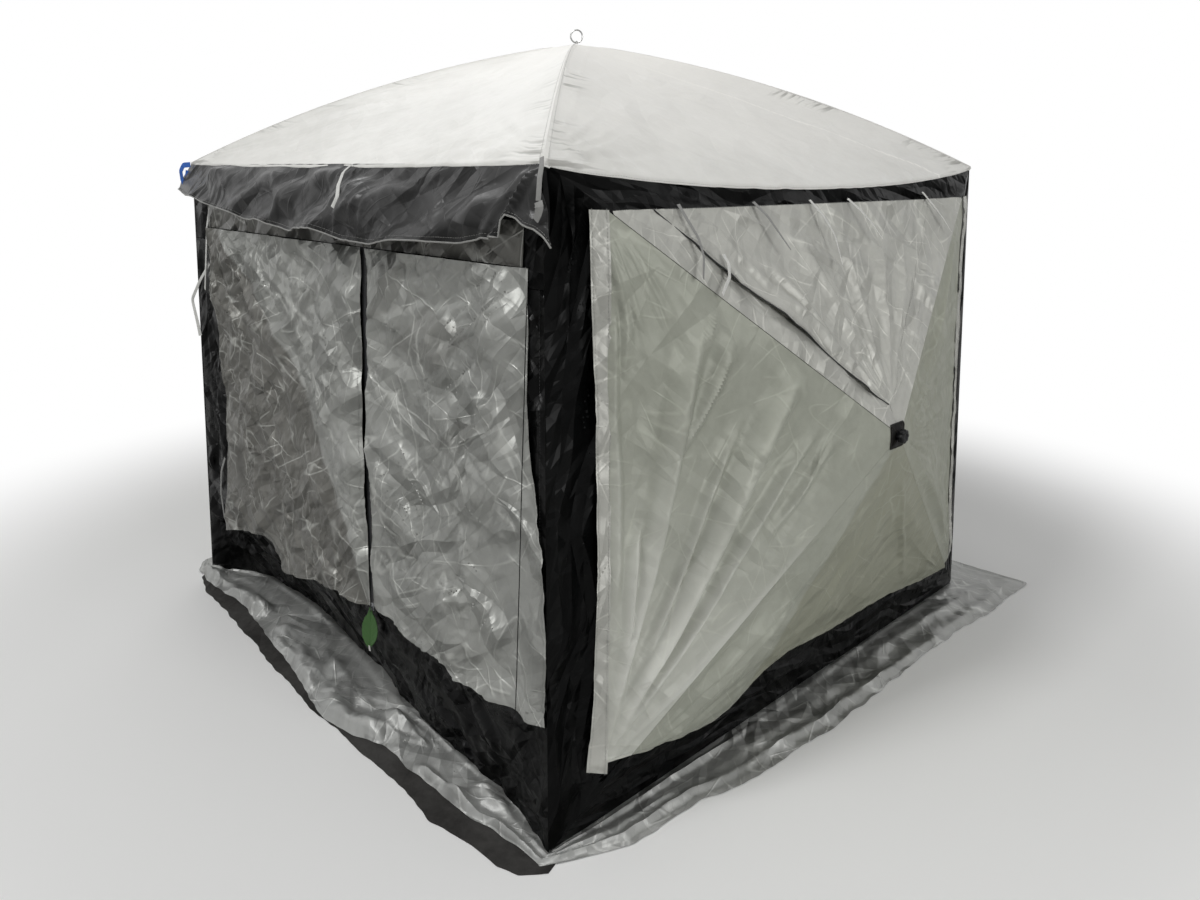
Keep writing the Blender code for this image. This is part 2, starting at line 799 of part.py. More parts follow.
def pull_tab(pin_at):
    """A leaf-shaped pull that hangs from the slider's pin."""
    spot = door_frame_matrix()
    x, s, level = pin_at
    half_eye = slider_width / 2 - 2 * ear_width - 0.0005
    across = (spot.to_3x3() @ Vector((1, 0, 0))).normalized()
    start = spot @ Vector((x - half_eye, s, level))
    eye = revolve([(0.0030, 0), (0.0030, 2 * half_eye)], 14, frame_of(start, across.orthogonal(), across))
    count = 14
    neck = half_eye - seam_gap
    left, right = [(x - neck, s + 0.002)], [(x + neck, s + 0.002)]
    for i in range(count + 1):
        share = i / count
        width = tab_width / 2 * math.sin(math.pi * share**0.8) ** 0.75 if 0 < share < 1 else 0
        width = max(width, neck)
        left.append((x - width, s + 0.008 + share * tab_length))
        right.append((x + width, s + 0.008 + share * tab_length))
    outline = left + right[::-1]
    low = level - tab_thickness / 2
    rings = [[spot @ Vector((a, b, low + k * tab_thickness)) for a, b in outline] for k in (0, 1)]
    builder = join(loft(rings), eye, "UNION")
    hole_centre = spot @ Vector((x, s, level))
    builder = drilled(builder, hole_centre, across, 0.0012 + seam_gap, 0.04)
    place("zip_pull_tab", builder, "green_webbing", hole_centre)


def awning_top():
    """The middle of the awning's hinge line, just outside the door wall and under the canopy's lip."""
    return Vector((0, -awning_reach - 1.2 * seam_gap, eave_height - awning_drop))


def awning():
    """The rain flap over the door, with a round bead sewn into its hem."""
    down = Vector((0, -math.sin(awning_tilt), -math.cos(awning_tilt)))
    outward = Vector((0, -math.cos(awning_tilt), math.sin(awning_tilt)))
    top = awning_top()
    stations = []
    for (x0, s0), (x1, s1) in zip(awning_hem, awning_hem[1:]):
        stations += [(x0, s0), ((x0 + x1) / 2, (s0 + s1) / 2 + awning_sag)]
    stations.append(awning_hem[-1])
    rings = []
    thick = fabric_thickness
    for share_across, drop in stations:
        x = share_across * half_eave
        head_x = max(min(x, awning_reach), -awning_reach)
        profile = [(0, thick), (drop * 0.5, thick), (drop - awning_bead, thick)]
        for k in range(7):
            angle = math.radians(120 - 40 * k)
            profile.append((drop + awning_bead * math.cos(angle), thick / 2 + awning_bead * math.sin(angle)))
        profile += [(drop - awning_bead, 0), (drop * 0.5, 0), (0, 0)]
        ring = []
        for s, n in profile:
            share = s / drop
            place_x = head_x + (x - head_x) * share
            ring.append(top + Vector((place_x, 0, 0)) + down * s + outward * n)
        rings.append(ring)
    place("door_awning", loft(rings, thin=True), "grey_fabric", top + outward * thick)


def ground_skirt():
    """The skirt that lies on the ground round the base, flat under the walls and rumpled outside."""
    inner = half_base - skirt_inset
    out_side = inner + skirt_side
    out_back = inner + skirt_back
    out_front = inner + skirt_front
    inner_corners = [(inner, -inner), (inner, inner), (-inner, inner), (-inner, -inner)]
    outer_corners = [
        (out_side, -out_front),
        (out_side, out_back),
        (-out_side, out_back),
        (-out_side, -out_front),
    ]
    straight_widths = [skirt_side, skirt_back, skirt_side, skirt_front]
    rings = []
    for side in range(4):
        for k in range(skirt_stations):
            u = k / skirt_stations
            a, b = inner_corners[side], inner_corners[(side + 1) % 4]
            c, d = outer_corners[side], outer_corners[(side + 1) % 4]
            start = Vector((a[0] + (b[0] - a[0]) * u, a[1] + (b[1] - a[1]) * u, 0))
            end = Vector((c[0] + (d[0] - c[0]) * u, c[1] + (d[1] - c[1]) * u, 0))
            way = (end - start).normalized()
            width = (end - start).length
            fade = math.sin(math.pi * u)
            wave = 0.5 + 0.5 * math.sin(u * 31 + side * 2.1)
            ripple = 0.5 + 0.5 * math.sin(u * 53 + side * 1.3)
            end -= way * 0.018 * fade * ripple
            width = (end - start).length
            flat_end = (skirt_inset + 0.006) / straight_widths[side]
            profile = []
            lows = [(0, 0), (flat_end, 0), (flat_end + 0.16, 0.7), (0.75, 0.9), (0.93, 0.15)]
            for share, lift in lows:
                profile.append((share * width, skirt_lift * lift * fade * wave))
            base_list = list(profile)
            bead_level = profile[-1][1] + skirt_bead
            for step in range(6):
                angle = math.radians(-90 + 36 * (step + 0.5))
                reach = width - skirt_bead + skirt_bead * math.cos(angle)
                profile.append((reach, bead_level + skirt_bead * math.sin(angle)))
            for reach, level in base_list[::-1]:
                profile.append((reach, level + skirt_thickness))
            rings.append([start + way * reach + up * level for reach, level in profile])
    builder = loft(rings, closed_round=True, thin=True)
    place("ground_skirt", builder, "skirt_fabric", (0, 0, 0))


def build():
    for item in list(bpy.data.objects):
        bpy.data.objects.remove(item)
    roof_canopy()
    hub("roof_hub", Vector((0, 0, roof_top)), up, roof_ways())
    for index, way in enumerate(roof_ways()):
        roof_pole(index, way)
    roof_ring(roof_eye())
    for wall in walls:
        wall_hub(wall)
        wall_patch(wall)
        wall_knob(wall)
        for corner in corners:
            wall_pole(wall, corner)
        for side in side_order:
            wall_panel(wall, side)
        for side in ("left", "bottom", "right"):
            wind_cover(wall, side)
        window_flap(wall)
    door_surround()
    door_panel("door_panel_left", door_left + seam_gap, door_meeting - seam_gap, door_left)
    door_panel("door_panel_right", door_meeting, door_right - seam_gap, door_right)
    pull_tab(zip_slider())
    awning()
    ground_skirt()


build()
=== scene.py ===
import math

import bmesh
import bpy
import numpy as np
from mathutils import Matrix, Vector


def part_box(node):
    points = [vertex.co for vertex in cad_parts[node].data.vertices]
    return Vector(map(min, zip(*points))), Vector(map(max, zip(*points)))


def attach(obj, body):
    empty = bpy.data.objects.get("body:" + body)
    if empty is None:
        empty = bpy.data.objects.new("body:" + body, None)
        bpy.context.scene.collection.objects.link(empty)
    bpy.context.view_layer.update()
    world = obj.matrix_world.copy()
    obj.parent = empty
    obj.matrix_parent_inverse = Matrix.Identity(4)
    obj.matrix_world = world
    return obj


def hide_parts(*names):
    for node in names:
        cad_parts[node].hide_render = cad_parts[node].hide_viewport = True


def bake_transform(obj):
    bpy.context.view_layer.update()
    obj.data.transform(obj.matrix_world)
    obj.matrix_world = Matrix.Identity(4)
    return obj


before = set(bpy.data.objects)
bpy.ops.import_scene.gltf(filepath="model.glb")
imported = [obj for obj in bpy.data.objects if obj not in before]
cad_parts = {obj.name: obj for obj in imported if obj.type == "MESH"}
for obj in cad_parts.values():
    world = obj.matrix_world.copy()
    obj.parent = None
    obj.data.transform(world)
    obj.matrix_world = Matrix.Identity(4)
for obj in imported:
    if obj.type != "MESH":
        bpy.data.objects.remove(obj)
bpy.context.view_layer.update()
print("stage: frame loaded")

# The tent's own sizes in metres, from the middle of its floor
tent = {
    "halfEave": 0.98,
    "halfBase": 1.08,
    "eaveHeight": 1.62,
    "foot": 0.0023,
    "roofRise": 0.38,
    "roofBow": 0.050,
    "roofSag": 0.050,
    "roofFlat": 0.060,
}
leanUp, leanOut = 0.998095, 0.061698  # the walls lean in: cosine and sine of that lean
hubLow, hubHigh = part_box("roof_hub")
middle = np.array([(hubLow.x + hubHigh.x) / 2, (hubLow.y + hubHigh.y) / 2, 0.0])
up = np.array([0.0, 0.0, 1.0])
hemSteps = np.array([0.0, 0.0045, 0.0090, 0.0098])  # rows of points across a hem, the last two at its step


# Small maths on arrays of points
def unit(v):
    v = np.asarray(v, float)
    return v / np.maximum(np.linalg.norm(v, axis=-1, keepdims=True), 1e-12)


def smooth(x, low=0.0, high=1.0):
    t = np.clip((np.asarray(x, float) - low) / (high - low), 0, 1)
    return t * t * (3 - 2 * t)


def noise(x, y, seed):
    rng = np.random.default_rng(seed)
    order = np.tile(rng.permutation(256), 2)
    turn = rng.uniform(0, 2 * np.pi, 256)
    xi, yi = np.floor(x).astype(int), np.floor(y).astype(int)
    xf, yf = x - xi, y - yi

    def lean(a, b):
        g = turn[order[order[(xi + a) & 255] + ((yi + b) & 255)]]
        return np.cos(g) * (xf - a) + np.sin(g) * (yf - b)

    u, v = xf**3 * (xf * (xf * 6 - 15) + 10), yf**3 * (yf * (yf * 6 - 15) + 10)
    low = lean(0, 0) * (1 - u) + lean(1, 0) * u
    high = lean(0, 1) * (1 - u) + lean(1, 1) * u
    return (low * (1 - v) + high * v) * 1.5


def creases(x, y, seed, size, reach=3.5):
    # sharp fold lines of many directions, each with a lit and a shaded side; about -1 to 1
    rng = np.random.default_rng(seed)
    total, ways = np.zeros(np.shape(x)), 5
    for k in range(ways):
        a = math.pi * (k + rng.uniform(-0.4, 0.4)) / ways
        bend = noise(x / (size * 4), y / (size * 4), seed + 31 + k) * size * 1.2
        along = (x * math.cos(a) + y * math.sin(a)) / (size * reach)
        across = (-x * math.sin(a) + y * math.cos(a) + bend) / size
        n = noise(along + 7.3 * k, across + 3.1 * k, seed + k)
        line = np.clip(1 - np.abs(n) * 3.2, 0, 1) ** 2
        place = smooth(noise(x / (size * 3) + k, y / (size * 3), seed + 60 + k), 0.02, 0.45)
        total += line * place * (1 if k % 2 else -1) + 0.35 * n * place
    return total


def shards(x, y, seed, size, turn, stretch):
    # flat triangles that join along straight creases, as crushed foil has; about -1 to 1
    rng = np.random.default_rng(seed)
    order = np.tile(rng.permutation(256), 2)
    heights, splits = rng.uniform(-1, 1, 256), rng.integers(0, 2, 256)
    wx = noise(x / (size * 2.6), y / (size * 2.6), seed + 1) * size * 0.9
    wy = noise(x / (size * 2.6) + 7, y / (size * 2.6), seed + 2) * size * 0.9
    c, s = math.cos(turn), math.sin(turn)
    a = ((x + wx) * c + (y + wy) * s) / (size * stretch)
    b = (-(x + wx) * s + (y + wy) * c) / size
    i, j = np.floor(a).astype(int), np.floor(b).astype(int)
    fa, fb = a - i, b - j

    def level(di, dj):
        return heights[order[order[(i + di) & 255] + ((j + dj) & 255)]]

    h00, h10, h01, h11 = level(0, 0), level(1, 0), level(0, 1), level(1, 1)
    first = np.where(fa > fb, h00 + fa * (h10 - h00) + fb * (h11 - h10), h00 + fb * (h01 - h00) + fa * (h11 - h01))
    second = np.where(fa + fb < 1, h00 + fa * (h10 - h00) + fb * (h01 - h00),
                      h11 + (1 - fa) * (h01 - h11) + (1 - fb) * (h10 - h11))
    return np.where(splits[order[order[i & 255] + (j & 255)]] > 0, first, second)


def fan(x, y, centre, count, seed, reach, near=0.10):
    dx, dy = x - centre[0], y - centre[1]
    r = np.hypot(dx, dy)
    angle = np.arctan2(dy, dx) + 0.05 * noise(r * 2.1, r * 0 + seed, seed + 1)
    n = noise(angle * count, r * 0.9, seed)
    m = noise(angle * count * 2.3 + 5, r * 1.7, seed + 2)
    ridge = (1 - np.abs(n) * 2.4) * 0.7 + (0.5 - np.abs(m)) * 0.5
    return ridge * smooth(r, near * 0.4, near * 2.5) * np.exp(-((r / reach) ** 2))


def pulls(x, y, lines):
    # straight folds from place to place: (x0, y0, x1, y1, width at the start, width at the end, height)
    total = np.zeros(np.shape(x))
    for x0, y0, x1, y1, thin, broad, rise in lines:
        long = math.hypot(x1 - x0, y1 - y0)
        a, b = (x1 - x0) / long, (y1 - y0) / long
        t = ((x - x0) * a + (y - y0) * b) / long
        bend = 0.010 * np.sin(t * 7 + x0 * 40) * np.clip(t, 0, 1)
        d = -(x - x0) * b + (y - y0) * a + bend
        w = thin + (broad - thin) * np.clip(t, 0, 1)
        d = d / np.where(d > 0, np.maximum(w, 0.017), np.maximum(w * 2.2, 0.02))
        crest = np.clip(1.22 - np.hypot(d, 0.22), 0, 1) ** 1.4
        total = np.maximum(total, rise * crest * smooth(t, -0.05, 0.45) * smooth(t, 1.04, 0.72))
    return total


def turnZ(points, degrees):
    a = math.radians(degrees)
    turn = np.array([[math.cos(a), -math.sin(a), 0], [math.sin(a), math.cos(a), 0], [0, 0, 1]])
    return points @ turn.T


def lengthsAlong(line):
    return np.concatenate([[0], np.cumsum(np.linalg.norm(np.diff(line, axis=0), axis=1))])


def readOff(points, x):
    # the value at x on a line through the points
    return np.interp(x, *np.array(points).T)


def along(line, count):
    line = np.asarray(line, float)
    run = lengthsAlong(line)
    at = np.linspace(0, run[-1], count)
    return np.stack([np.interp(at, run, line[:, k]) for k in range(line.shape[1])], 1)


def addObject(name, data):
    made = bpy.data.objects.new(name, data)
    bpy.context.scene.collection.objects.link(made)
    return made


# Node trees: a wire is one socket of a tree, and sums on it add their own nodes
class Wire:
    def __init__(self, wiring, socket):
        self.wiring = wiring
        self.socket = socket

    def math(self, operation, *others):
        return self.wiring.node("ShaderNodeMath", {"operation": operation}, dict(enumerate((self, *others))))

    def __add__(self, other):
        return self.math("ADD", other)

    def __mul__(self, other):
        return self.math("MULTIPLY", other)

    def __sub__(self, other):
        return self.math("SUBTRACT", other)

    def __rsub__(self, other):
        return self.wiring.node("ShaderNodeMath", {"operation": "SUBTRACT"}, {0: other, 1: self})

    def __truediv__(self, other):
        return self.math("DIVIDE", other)

    __radd__ = __add__
    __rmul__ = __mul__

    def ramp(self, low, high, start=0.0, end=1.0):
        return self.wiring.node(
            "ShaderNodeMapRange", {"interpolation_type": "SMOOTHSTEP"},
            {"Value": self, "From Min": low, "From Max": high, "To Min": start, "To Max": end})

    def also(self, out):
        # another output of the same node
        return Wire(self.wiring, self.socket.node.outputs[out])


class Wiring:
    def __init__(self, tree):
        self.tree = tree

    def node(self, kind, settings=None, sockets=None, out=0):
        made = self.tree.nodes.new(kind)
        for key, value in (settings or {}).items():
            setattr(made, key, value)
        for key, value in (sockets or {}).items():
            self.plug(made.inputs[key], value)
        return Wire(self, made.outputs[out] if len(made.outputs) else None)

    def plug(self, socket, value):
        if isinstance(value, Wire):
            self.tree.links.new(value.socket, socket)
        elif socket.type == "RGBA" and len(value) == 3:
            socket.default_value = (*value, 1)
        else:
            socket.default_value = value


class Finish(Wiring):
    def __init__(self, name):
        self.material = bpy.data.materials.new(name)
        self.material.use_nodes = True
        super().__init__(self.material.node_tree)
        self.shader = self.tree.nodes["Principled BSDF"]

    def uv(self):
        return self.node("ShaderNodeTexCoord", out="UV")

    def place(self):
        return self.node("ShaderNodeTexCoord", out="Object")

    def mask(self, name):
        return self.node("ShaderNodeAttribute", {"attribute_name": name}, {}, "Fac")

    def vector(self, operation, *sockets, out=0):
        return self.node("ShaderNodeVectorMath", {"operation": operation}, dict(enumerate(sockets)), out)

    def scaled(self, vector, scale, turn=0.0, move=(0, 0, 0)):
        # turned first and stretched after, so that a streak can run any way
        return self.node("ShaderNodeMapping", {"vector_type": "TEXTURE"}, {
            "Vector": vector, "Scale": tuple(1 / c for c in scale), "Rotation": (0, 0, turn), "Location": move})

    def drifting(self, uv, scale):
        # the cloth's own coordinates, bent here and there so that no crease runs dead straight
        drift = self.node("ShaderNodeTexNoise", {}, {"Vector": uv, "Scale": scale, "Detail": 1.0}, "Color")
        shift = self.vector("MULTIPLY", self.vector("SUBTRACT", drift, (0.5, 0.5, 0.5)), (0.14, 0.14, 0.0))
        return self.vector("ADD", uv, shift)

    def cloud(self, vector, scale, detail=2.0, rough=0.5, warp=0.0):
        return self.node("ShaderNodeTexNoise", {}, {
            "Vector": vector, "Scale": scale, "Detail": detail, "Roughness": rough, "Distortion": warp})

    def ridged(self, vector, scale):
        return self.node("ShaderNodeTexNoise", {"noise_type": "RIDGED_MULTIFRACTAL"}, {
            "Vector": vector, "Scale": scale, "Detail": 3.0, "Roughness": 0.55, "Offset": 0.9, "Gain": 1.6}) * 0.4

    def threads(self, vector, way, scale, warp=0.0):
        return self.node("ShaderNodeTexWave", {"wave_type": "BANDS", "bands_direction": way}, {
            "Vector": vector, "Scale": scale, "Distortion": warp})

    def foil(self, vector, scale):
        # flat triangles that join along straight creases: heights at the corners of a bent lattice
        grid = self.node("ShaderNodeVectorMath", {"operation": "SCALE"}, {0: vector, "Scale": scale})
        base = self.vector("FLOOR", grid)
        a = self.node("ShaderNodeSeparateXYZ", {}, {0: self.vector("FRACTION", grid)})
        b = a.also(1)

        def level(right, up):
            at = self.vector("ADD", base, (right, up, 0.0))
            return self.node("ShaderNodeTexWhiteNoise", {"noise_dimensions": "2D"}, {"Vector": at}, "Value")

        def triangles(b, h00, h10, h01, h11):
            lean = a - b
            return (h00 * (1 - a.math("MAXIMUM", b)) + h10 * lean.math("MAXIMUM", 0.0)
                    + h01 * (lean * -1).math("MAXIMUM", 0.0) + h11 * a.math("MINIMUM", b))

        h00, h10, h01, h11 = level(0, 0), level(1, 0), level(0, 1), level(1, 1)
        one = triangles(b, h00, h10, h01, h11)
        two = triangles(1 - b, h01, h11, h00, h10)
        side = level(31.0, 17.0).math("GREATER_THAN", 0.5)
        return (one + side * (two - one)) / scale

    def lines(self, vector, turn, move):
        # thin straight creases one way of the cloth, broken up by a second cloud
        at = self.scaled(vector, (1 / creaseLooks["long"], 1 / creaseLooks["wide"], 1.0), turn, (move, move * 0.7, 0.0))
        near = (self.cloud(at, 1.0, 0.0) - 0.5).math("ABSOLUTE").ramp(0.0, creaseLooks["thin"], 1.0, 0.0)
        return near * self.cloud(self.scaled(vector, (1, 1, 1), 0.0, (move, 3.0, 0.0)), 6.5, 1.0).ramp(0.50, 0.60)

    def blend(self, factor, first, second):
        return self.node("ShaderNodeMix", {"data_type": "RGBA"}, {0: factor, 6: first, 7: second}, 2)

    def bump(self, height, distance, strength=1.0):
        return self.node("ShaderNodeBump", {}, {"Height": height, "Distance": distance, "Strength": strength})

    def set(self, **values):
        for key, value in values.items():
            self.plug(self.shader.inputs[key.replace("_", " ")], value)
        return self.material


def tinted(colour, amount):
    return tuple(min(1.0, c * amount) for c in colour)


creaseLooks = {
    "weave": 1600.0,  # threads a metre, as an angle
    "long": 0.34,
    "wide": 0.075,
    "thin": 0.026,
    "turns": (0.35, 1.15, 1.9, 2.7),
}


def clothFinish(name, colour, shade, metal, rough, crush, fine, patch=None, coat=0.0, gloss=0.5, line=0.0, valley=None):
    f = Finish(name)
    uv = f.uv()
    bent = f.drifting(uv, 2.2)
    large = f.foil(f.scaled(bent, (1.0, 2.6, 1.0), 0.6), 6.0)
    middling = f.foil(f.scaled(bent, (3.0, 1.0, 1.0), 0.9, (3.1, 1.7, 0)), 9.0)
    little = f.foil(f.scaled(bent, (1.0, 2.6, 1.0), 2.2, (1.1, 0.7, 0)), 21.0)
    soft = f.ridged(f.scaled(uv, (1.0, 2.2, 1.0), 0.5), 8.0)
    calm = f.cloud(uv, 2.6, 2.0).ramp(0.36, 0.62, 0.30, 1.0)
    other = f.cloud(f.scaled(uv, (1.0, 1.0, 1.0), 0.0, (5.0, 2.0, 0)), 4.4, 2.0).ramp(0.38, 0.60)
    weave, cross = (f.threads(uv, way, creaseLooks["weave"] / 6.28) for way in "XY")
    folds = (large * crush + middling * (0.8 * crush)) * calm + little * (0.5 * crush) * other
    thin = sum(f.lines(uv, turn, 2.3 * turn + 1.0) for turn in creaseLooks["turns"])
    height = folds + soft * fine + thin * (0.0022 * line) + (weave + cross) * 0.00002
    cloudy = f.cloud(uv, 3.1, 5, 0.6)
    worn = f.cloud(uv, 28.0, 4, 0.65)
    base = f.blend((cloudy * 0.75 + worn * 0.35).ramp(0.35, 0.78), colour, shade)
    if patch:
        base = f.blend(f.mask("shade"), base, patch)
    if valley:
        # short folds along the eave's way, where the mask says the cloth is gathered, with painted shade in the valleys
        # between them
        gathered = f.mask("band")
        rows = f.cloud(f.scaled(bent, (7.0, 62.0, 1.0), 0.12), 1.0, 1.0)
        height = height + gathered * rows * 0.009
        base = f.blend(gathered * rows.ramp(0.50, 0.36), base, valley)
    # painted highlight along the thin creases
    if line:
        base = f.blend(thin * (0.55 * line), base, tinted(colour, 2.2))
    return f.set(Base_Color=base, Metallic=metal, Roughness=cloudy * 0.16 + (rough - 0.08), Normal=f.bump(height, 1.0),
                 Coat_Weight=coat, Coat_Roughness=0.22, Specular_IOR_Level=gloss)


def meshFinish(name, colour):
    f = Finish(name)
    uv, band = f.uv(), f.mask("band")
    cloudy = f.cloud(uv, 5.0, 4, 0.6)
    fine = f.cloud(uv, 420.0, 1, 0.5)
    bent = f.drifting(uv, 3.0)
    large = f.foil(f.scaled(bent, (0.7, 3.2, 1.0), 0.15), 9.0)
    little = f.foil(f.scaled(bent, (1.0, 1.9, 1.0), 0.9, (1.3, 0.4, 0)), 26.0)
    holes = cloudy * 0.18 + fine * 0.12 + 0.52
    alpha = f.node("ShaderNodeMix", {"data_type": "FLOAT"}, {0: band, 2: holes, 3: 1.0})
    f.material.surface_render_method = "BLENDED"
    return f.set(Base_Color=f.blend(cloudy.ramp(0.3, 0.7), colour, tinted(colour, 2.2)), Roughness=cloudy * 0.2 + 0.26,
                 Alpha=alpha, Normal=f.bump(large * 0.55 * band + little * 0.30, 1.0), Specular_IOR_Level=0.075)


def hardFinish(name, colour, metal, rough, grain, depth, wear=None, gloss=0.5):
    f = Finish(name)
    at = f.place()
    fine = f.cloud(at, grain, 3, 0.6)
    cloudy = f.cloud(at, 40.0, 4, 0.6)
    base = f.blend(cloudy.ramp(0.35, 0.7), colour, wear or tinted(colour, 0.75))
    return f.set(Base_Color=base, Metallic=metal, Roughness=cloudy * 0.2 + (rough - 0.1), Normal=f.bump(fine, depth),
                 Specular_IOR_Level=gloss)


def rodFinish(name, colour):
    f = Finish(name)
    streak = f.cloud(f.scaled(f.place(), (6, 6, 6)), 9.0, 6, 0.7, 2.0)
    base = f.blend(streak.ramp(0.4, 0.65), colour, tinted(colour, 1.8))
    return f.set(Base_Color=base, Roughness=streak * 0.2 + 0.25, Normal=f.bump(streak, 0.0002, 0.6))


def tapeFinish(name, colour, rough=0.6):
    f = Finish(name)
    uv = f.uv()
    ribs, rows = f.threads(uv, "X", 190.0, 1.5), f.threads(uv, "Y", 110.0)
    cloudy = f.cloud(uv, 60.0, 3, 0.6)
    base = f.blend((ribs * 0.6 + cloudy * 0.6).ramp(0.3, 0.9), tinted(colour, 0.7), colour)
    return f.set(Base_Color=base, Roughness=cloudy * 0.2 + rough - 0.1, Normal=f.bump(ribs * rows, 0.0004, 0.8))


looks = {
    "silver": clothFinish("crinkledSilver", (0.32, 0.325, 0.305), (0.25, 0.255, 0.24), 0.35, 0.42, 0.46, 0.0010,
                          patch=(0.125, 0.123, 0.110), coat=0.05, line=0.6),
    "sage": clothFinish("sageSilver", (0.325, 0.335, 0.285), (0.26, 0.27, 0.225), 0.15, 0.52, 0.12, 0.0008,
                        patch=(0.245, 0.25, 0.195), gloss=0.4, line=0.18),
    "sageLit": clothFinish("sageSilverLit", (0.325, 0.335, 0.285), (0.26, 0.27, 0.225), 0.15, 0.52, 0.12, 0.0008,
                           patch=(0.58, 0.585, 0.54), gloss=0.4, line=0.18),
    "silverPale": clothFinish("paleSilver", (0.43, 0.43, 0.395), (0.345, 0.345, 0.315), 0.22, 0.48, 0.24, 0.0010,
                              patch=(0.3, 0.3, 0.28), coat=0.04, line=0.4),
    "roof": clothFinish("paleRoof", (0.74, 0.735, 0.70), (0.66, 0.655, 0.62), 0.0, 0.48, 0.05, 0.0006,
                        patch=(0.92, 0.905, 0.86), line=0.10, valley=(0.30, 0.295, 0.27)),
    "black": clothFinish("blackCloth", (0.0012, 0.0013, 0.0013), (0.0034, 0.0035, 0.0036), 0.0, 0.28, 0.55, 0.0015,
                         gloss=0.10),
    "grey": clothFinish("greyCloth", (0.0165, 0.0165, 0.0162), (0.0095, 0.0095, 0.0093), 0.0, 0.34, 0.24, 0.0010,
                        patch=(0.0022, 0.0022, 0.0021), coat=0.08, gloss=0.3, line=0.3),
    "skirt": clothFinish("skirtSilver", (0.40, 0.405, 0.39), (0.29, 0.295, 0.285), 0.30, 0.44, 0.20, 0.0012,
                         patch=(0.14, 0.138, 0.127), coat=0.05, line=0.4),
    # the dark sheet at the door: painted shadow on the floor
    "floorShadow": clothFinish("skirtUnder", (0.065, 0.063, 0.060), (0.022, 0.021, 0.020), 0.0, 0.80, 0.15, 0.0016,
                         gloss=0.10),
    "patchCloth": clothFinish("patchCloth", (0.0035, 0.0033, 0.0030), (0.0075, 0.0068, 0.0058), 0.0, 0.5, 0.22, 0.0002,
                              gloss=0.10),
    "mesh": meshFinish("insectMesh", (0.0011, 0.0012, 0.0012)),
    "plastic": hardFinish("blackPlastic", (0.0045, 0.0045, 0.0048), 0.0, 0.38, 700.0, 0.00010, (0.009, 0.009, 0.0095),
                          0.16),
    "rod": rodFinish("darkRod", (0.030, 0.030, 0.033)),
    "steel": hardFinish("zincSteel", (0.36, 0.36, 0.355), 1.0, 0.32, 500.0, 0.00004, (0.25, 0.25, 0.245)),
    "zip": hardFinish("zipMetal", (0.30, 0.31, 0.32), 1.0, 0.38, 900.0, 0.00003),
    "tooth": hardFinish("zipCoil", (0.014, 0.014, 0.015), 0.0, 0.35, 1500.0, 0.00002),
    "green": tapeFinish("greenTab", (0.038, 0.120, 0.020)),
    "blue": tapeFinish("blueTape", (0.020, 0.120, 0.480)),
    "white": tapeFinish("whiteTape", (0.70, 0.70, 0.67), 0.55),
    "strap": tapeFinish("greyStrap", (0.26, 0.26, 0.25), 0.55),
    "blackTape": tapeFinish("blackTape", (0.014, 0.014, 0.015), 0.55),
    "zipTape": tapeFinish("zipTape", (0.030, 0.031, 0.033), 0.6),
    "piping": tapeFinish("pipingTape", (0.30, 0.30, 0.285), 0.5),
    "patchThread": tapeFinish("patchThread", (0.050, 0.045, 0.038), 0.6),
    "roofThread": tapeFinish("roofThread", (0.62, 0.62, 0.60), 0.6),
    "thread": tapeFinish("paleThread", (0.42, 0.42, 0.40), 0.6),
    "darkThread": tapeFinish("darkThread", (0.030, 0.030, 0.031), 0.6),
}
print("stage: finishes made")


# The camera stands where the photograph was taken
eye = {"at": (2.412, -2.182, 1.604), "yaw": 136.33, "pitch": -17.92, "roll": 0.29, "focal": 867.0, "wide": 1200.0}
yaw, pitch, roll = (math.radians(eye[k]) for k in ("yaw", "pitch", "roll"))
ahead = Vector((math.cos(pitch) * math.cos(yaw), math.cos(pitch) * math.sin(yaw), math.sin(pitch)))
level = ahead.cross(Vector((0, 0, 1))).normalized()
upright = level.cross(ahead)
right = math.cos(roll) * level + math.sin(roll) * upright
top = -math.sin(roll) * level + math.cos(roll) * upright
camera = addObject("camera", bpy.data.cameras.new("camera"))
camera.data.sensor_width = 36.0
camera.data.sensor_fit = "HORIZONTAL"
camera.data.lens = eye["focal"] / eye["wide"] * 36.0
camera.data.clip_end = 60.0
camera.matrix_world = Matrix.Translation(Vector(eye["at"]) + Vector(middle)) @ Matrix(
    (right, top, -ahead)).transposed().to_4x4()
bpy.context.scene.camera = camera


grids = {}  # each cloth piece's outer points and normals, for the seams
sharpAngle = math.radians(50)


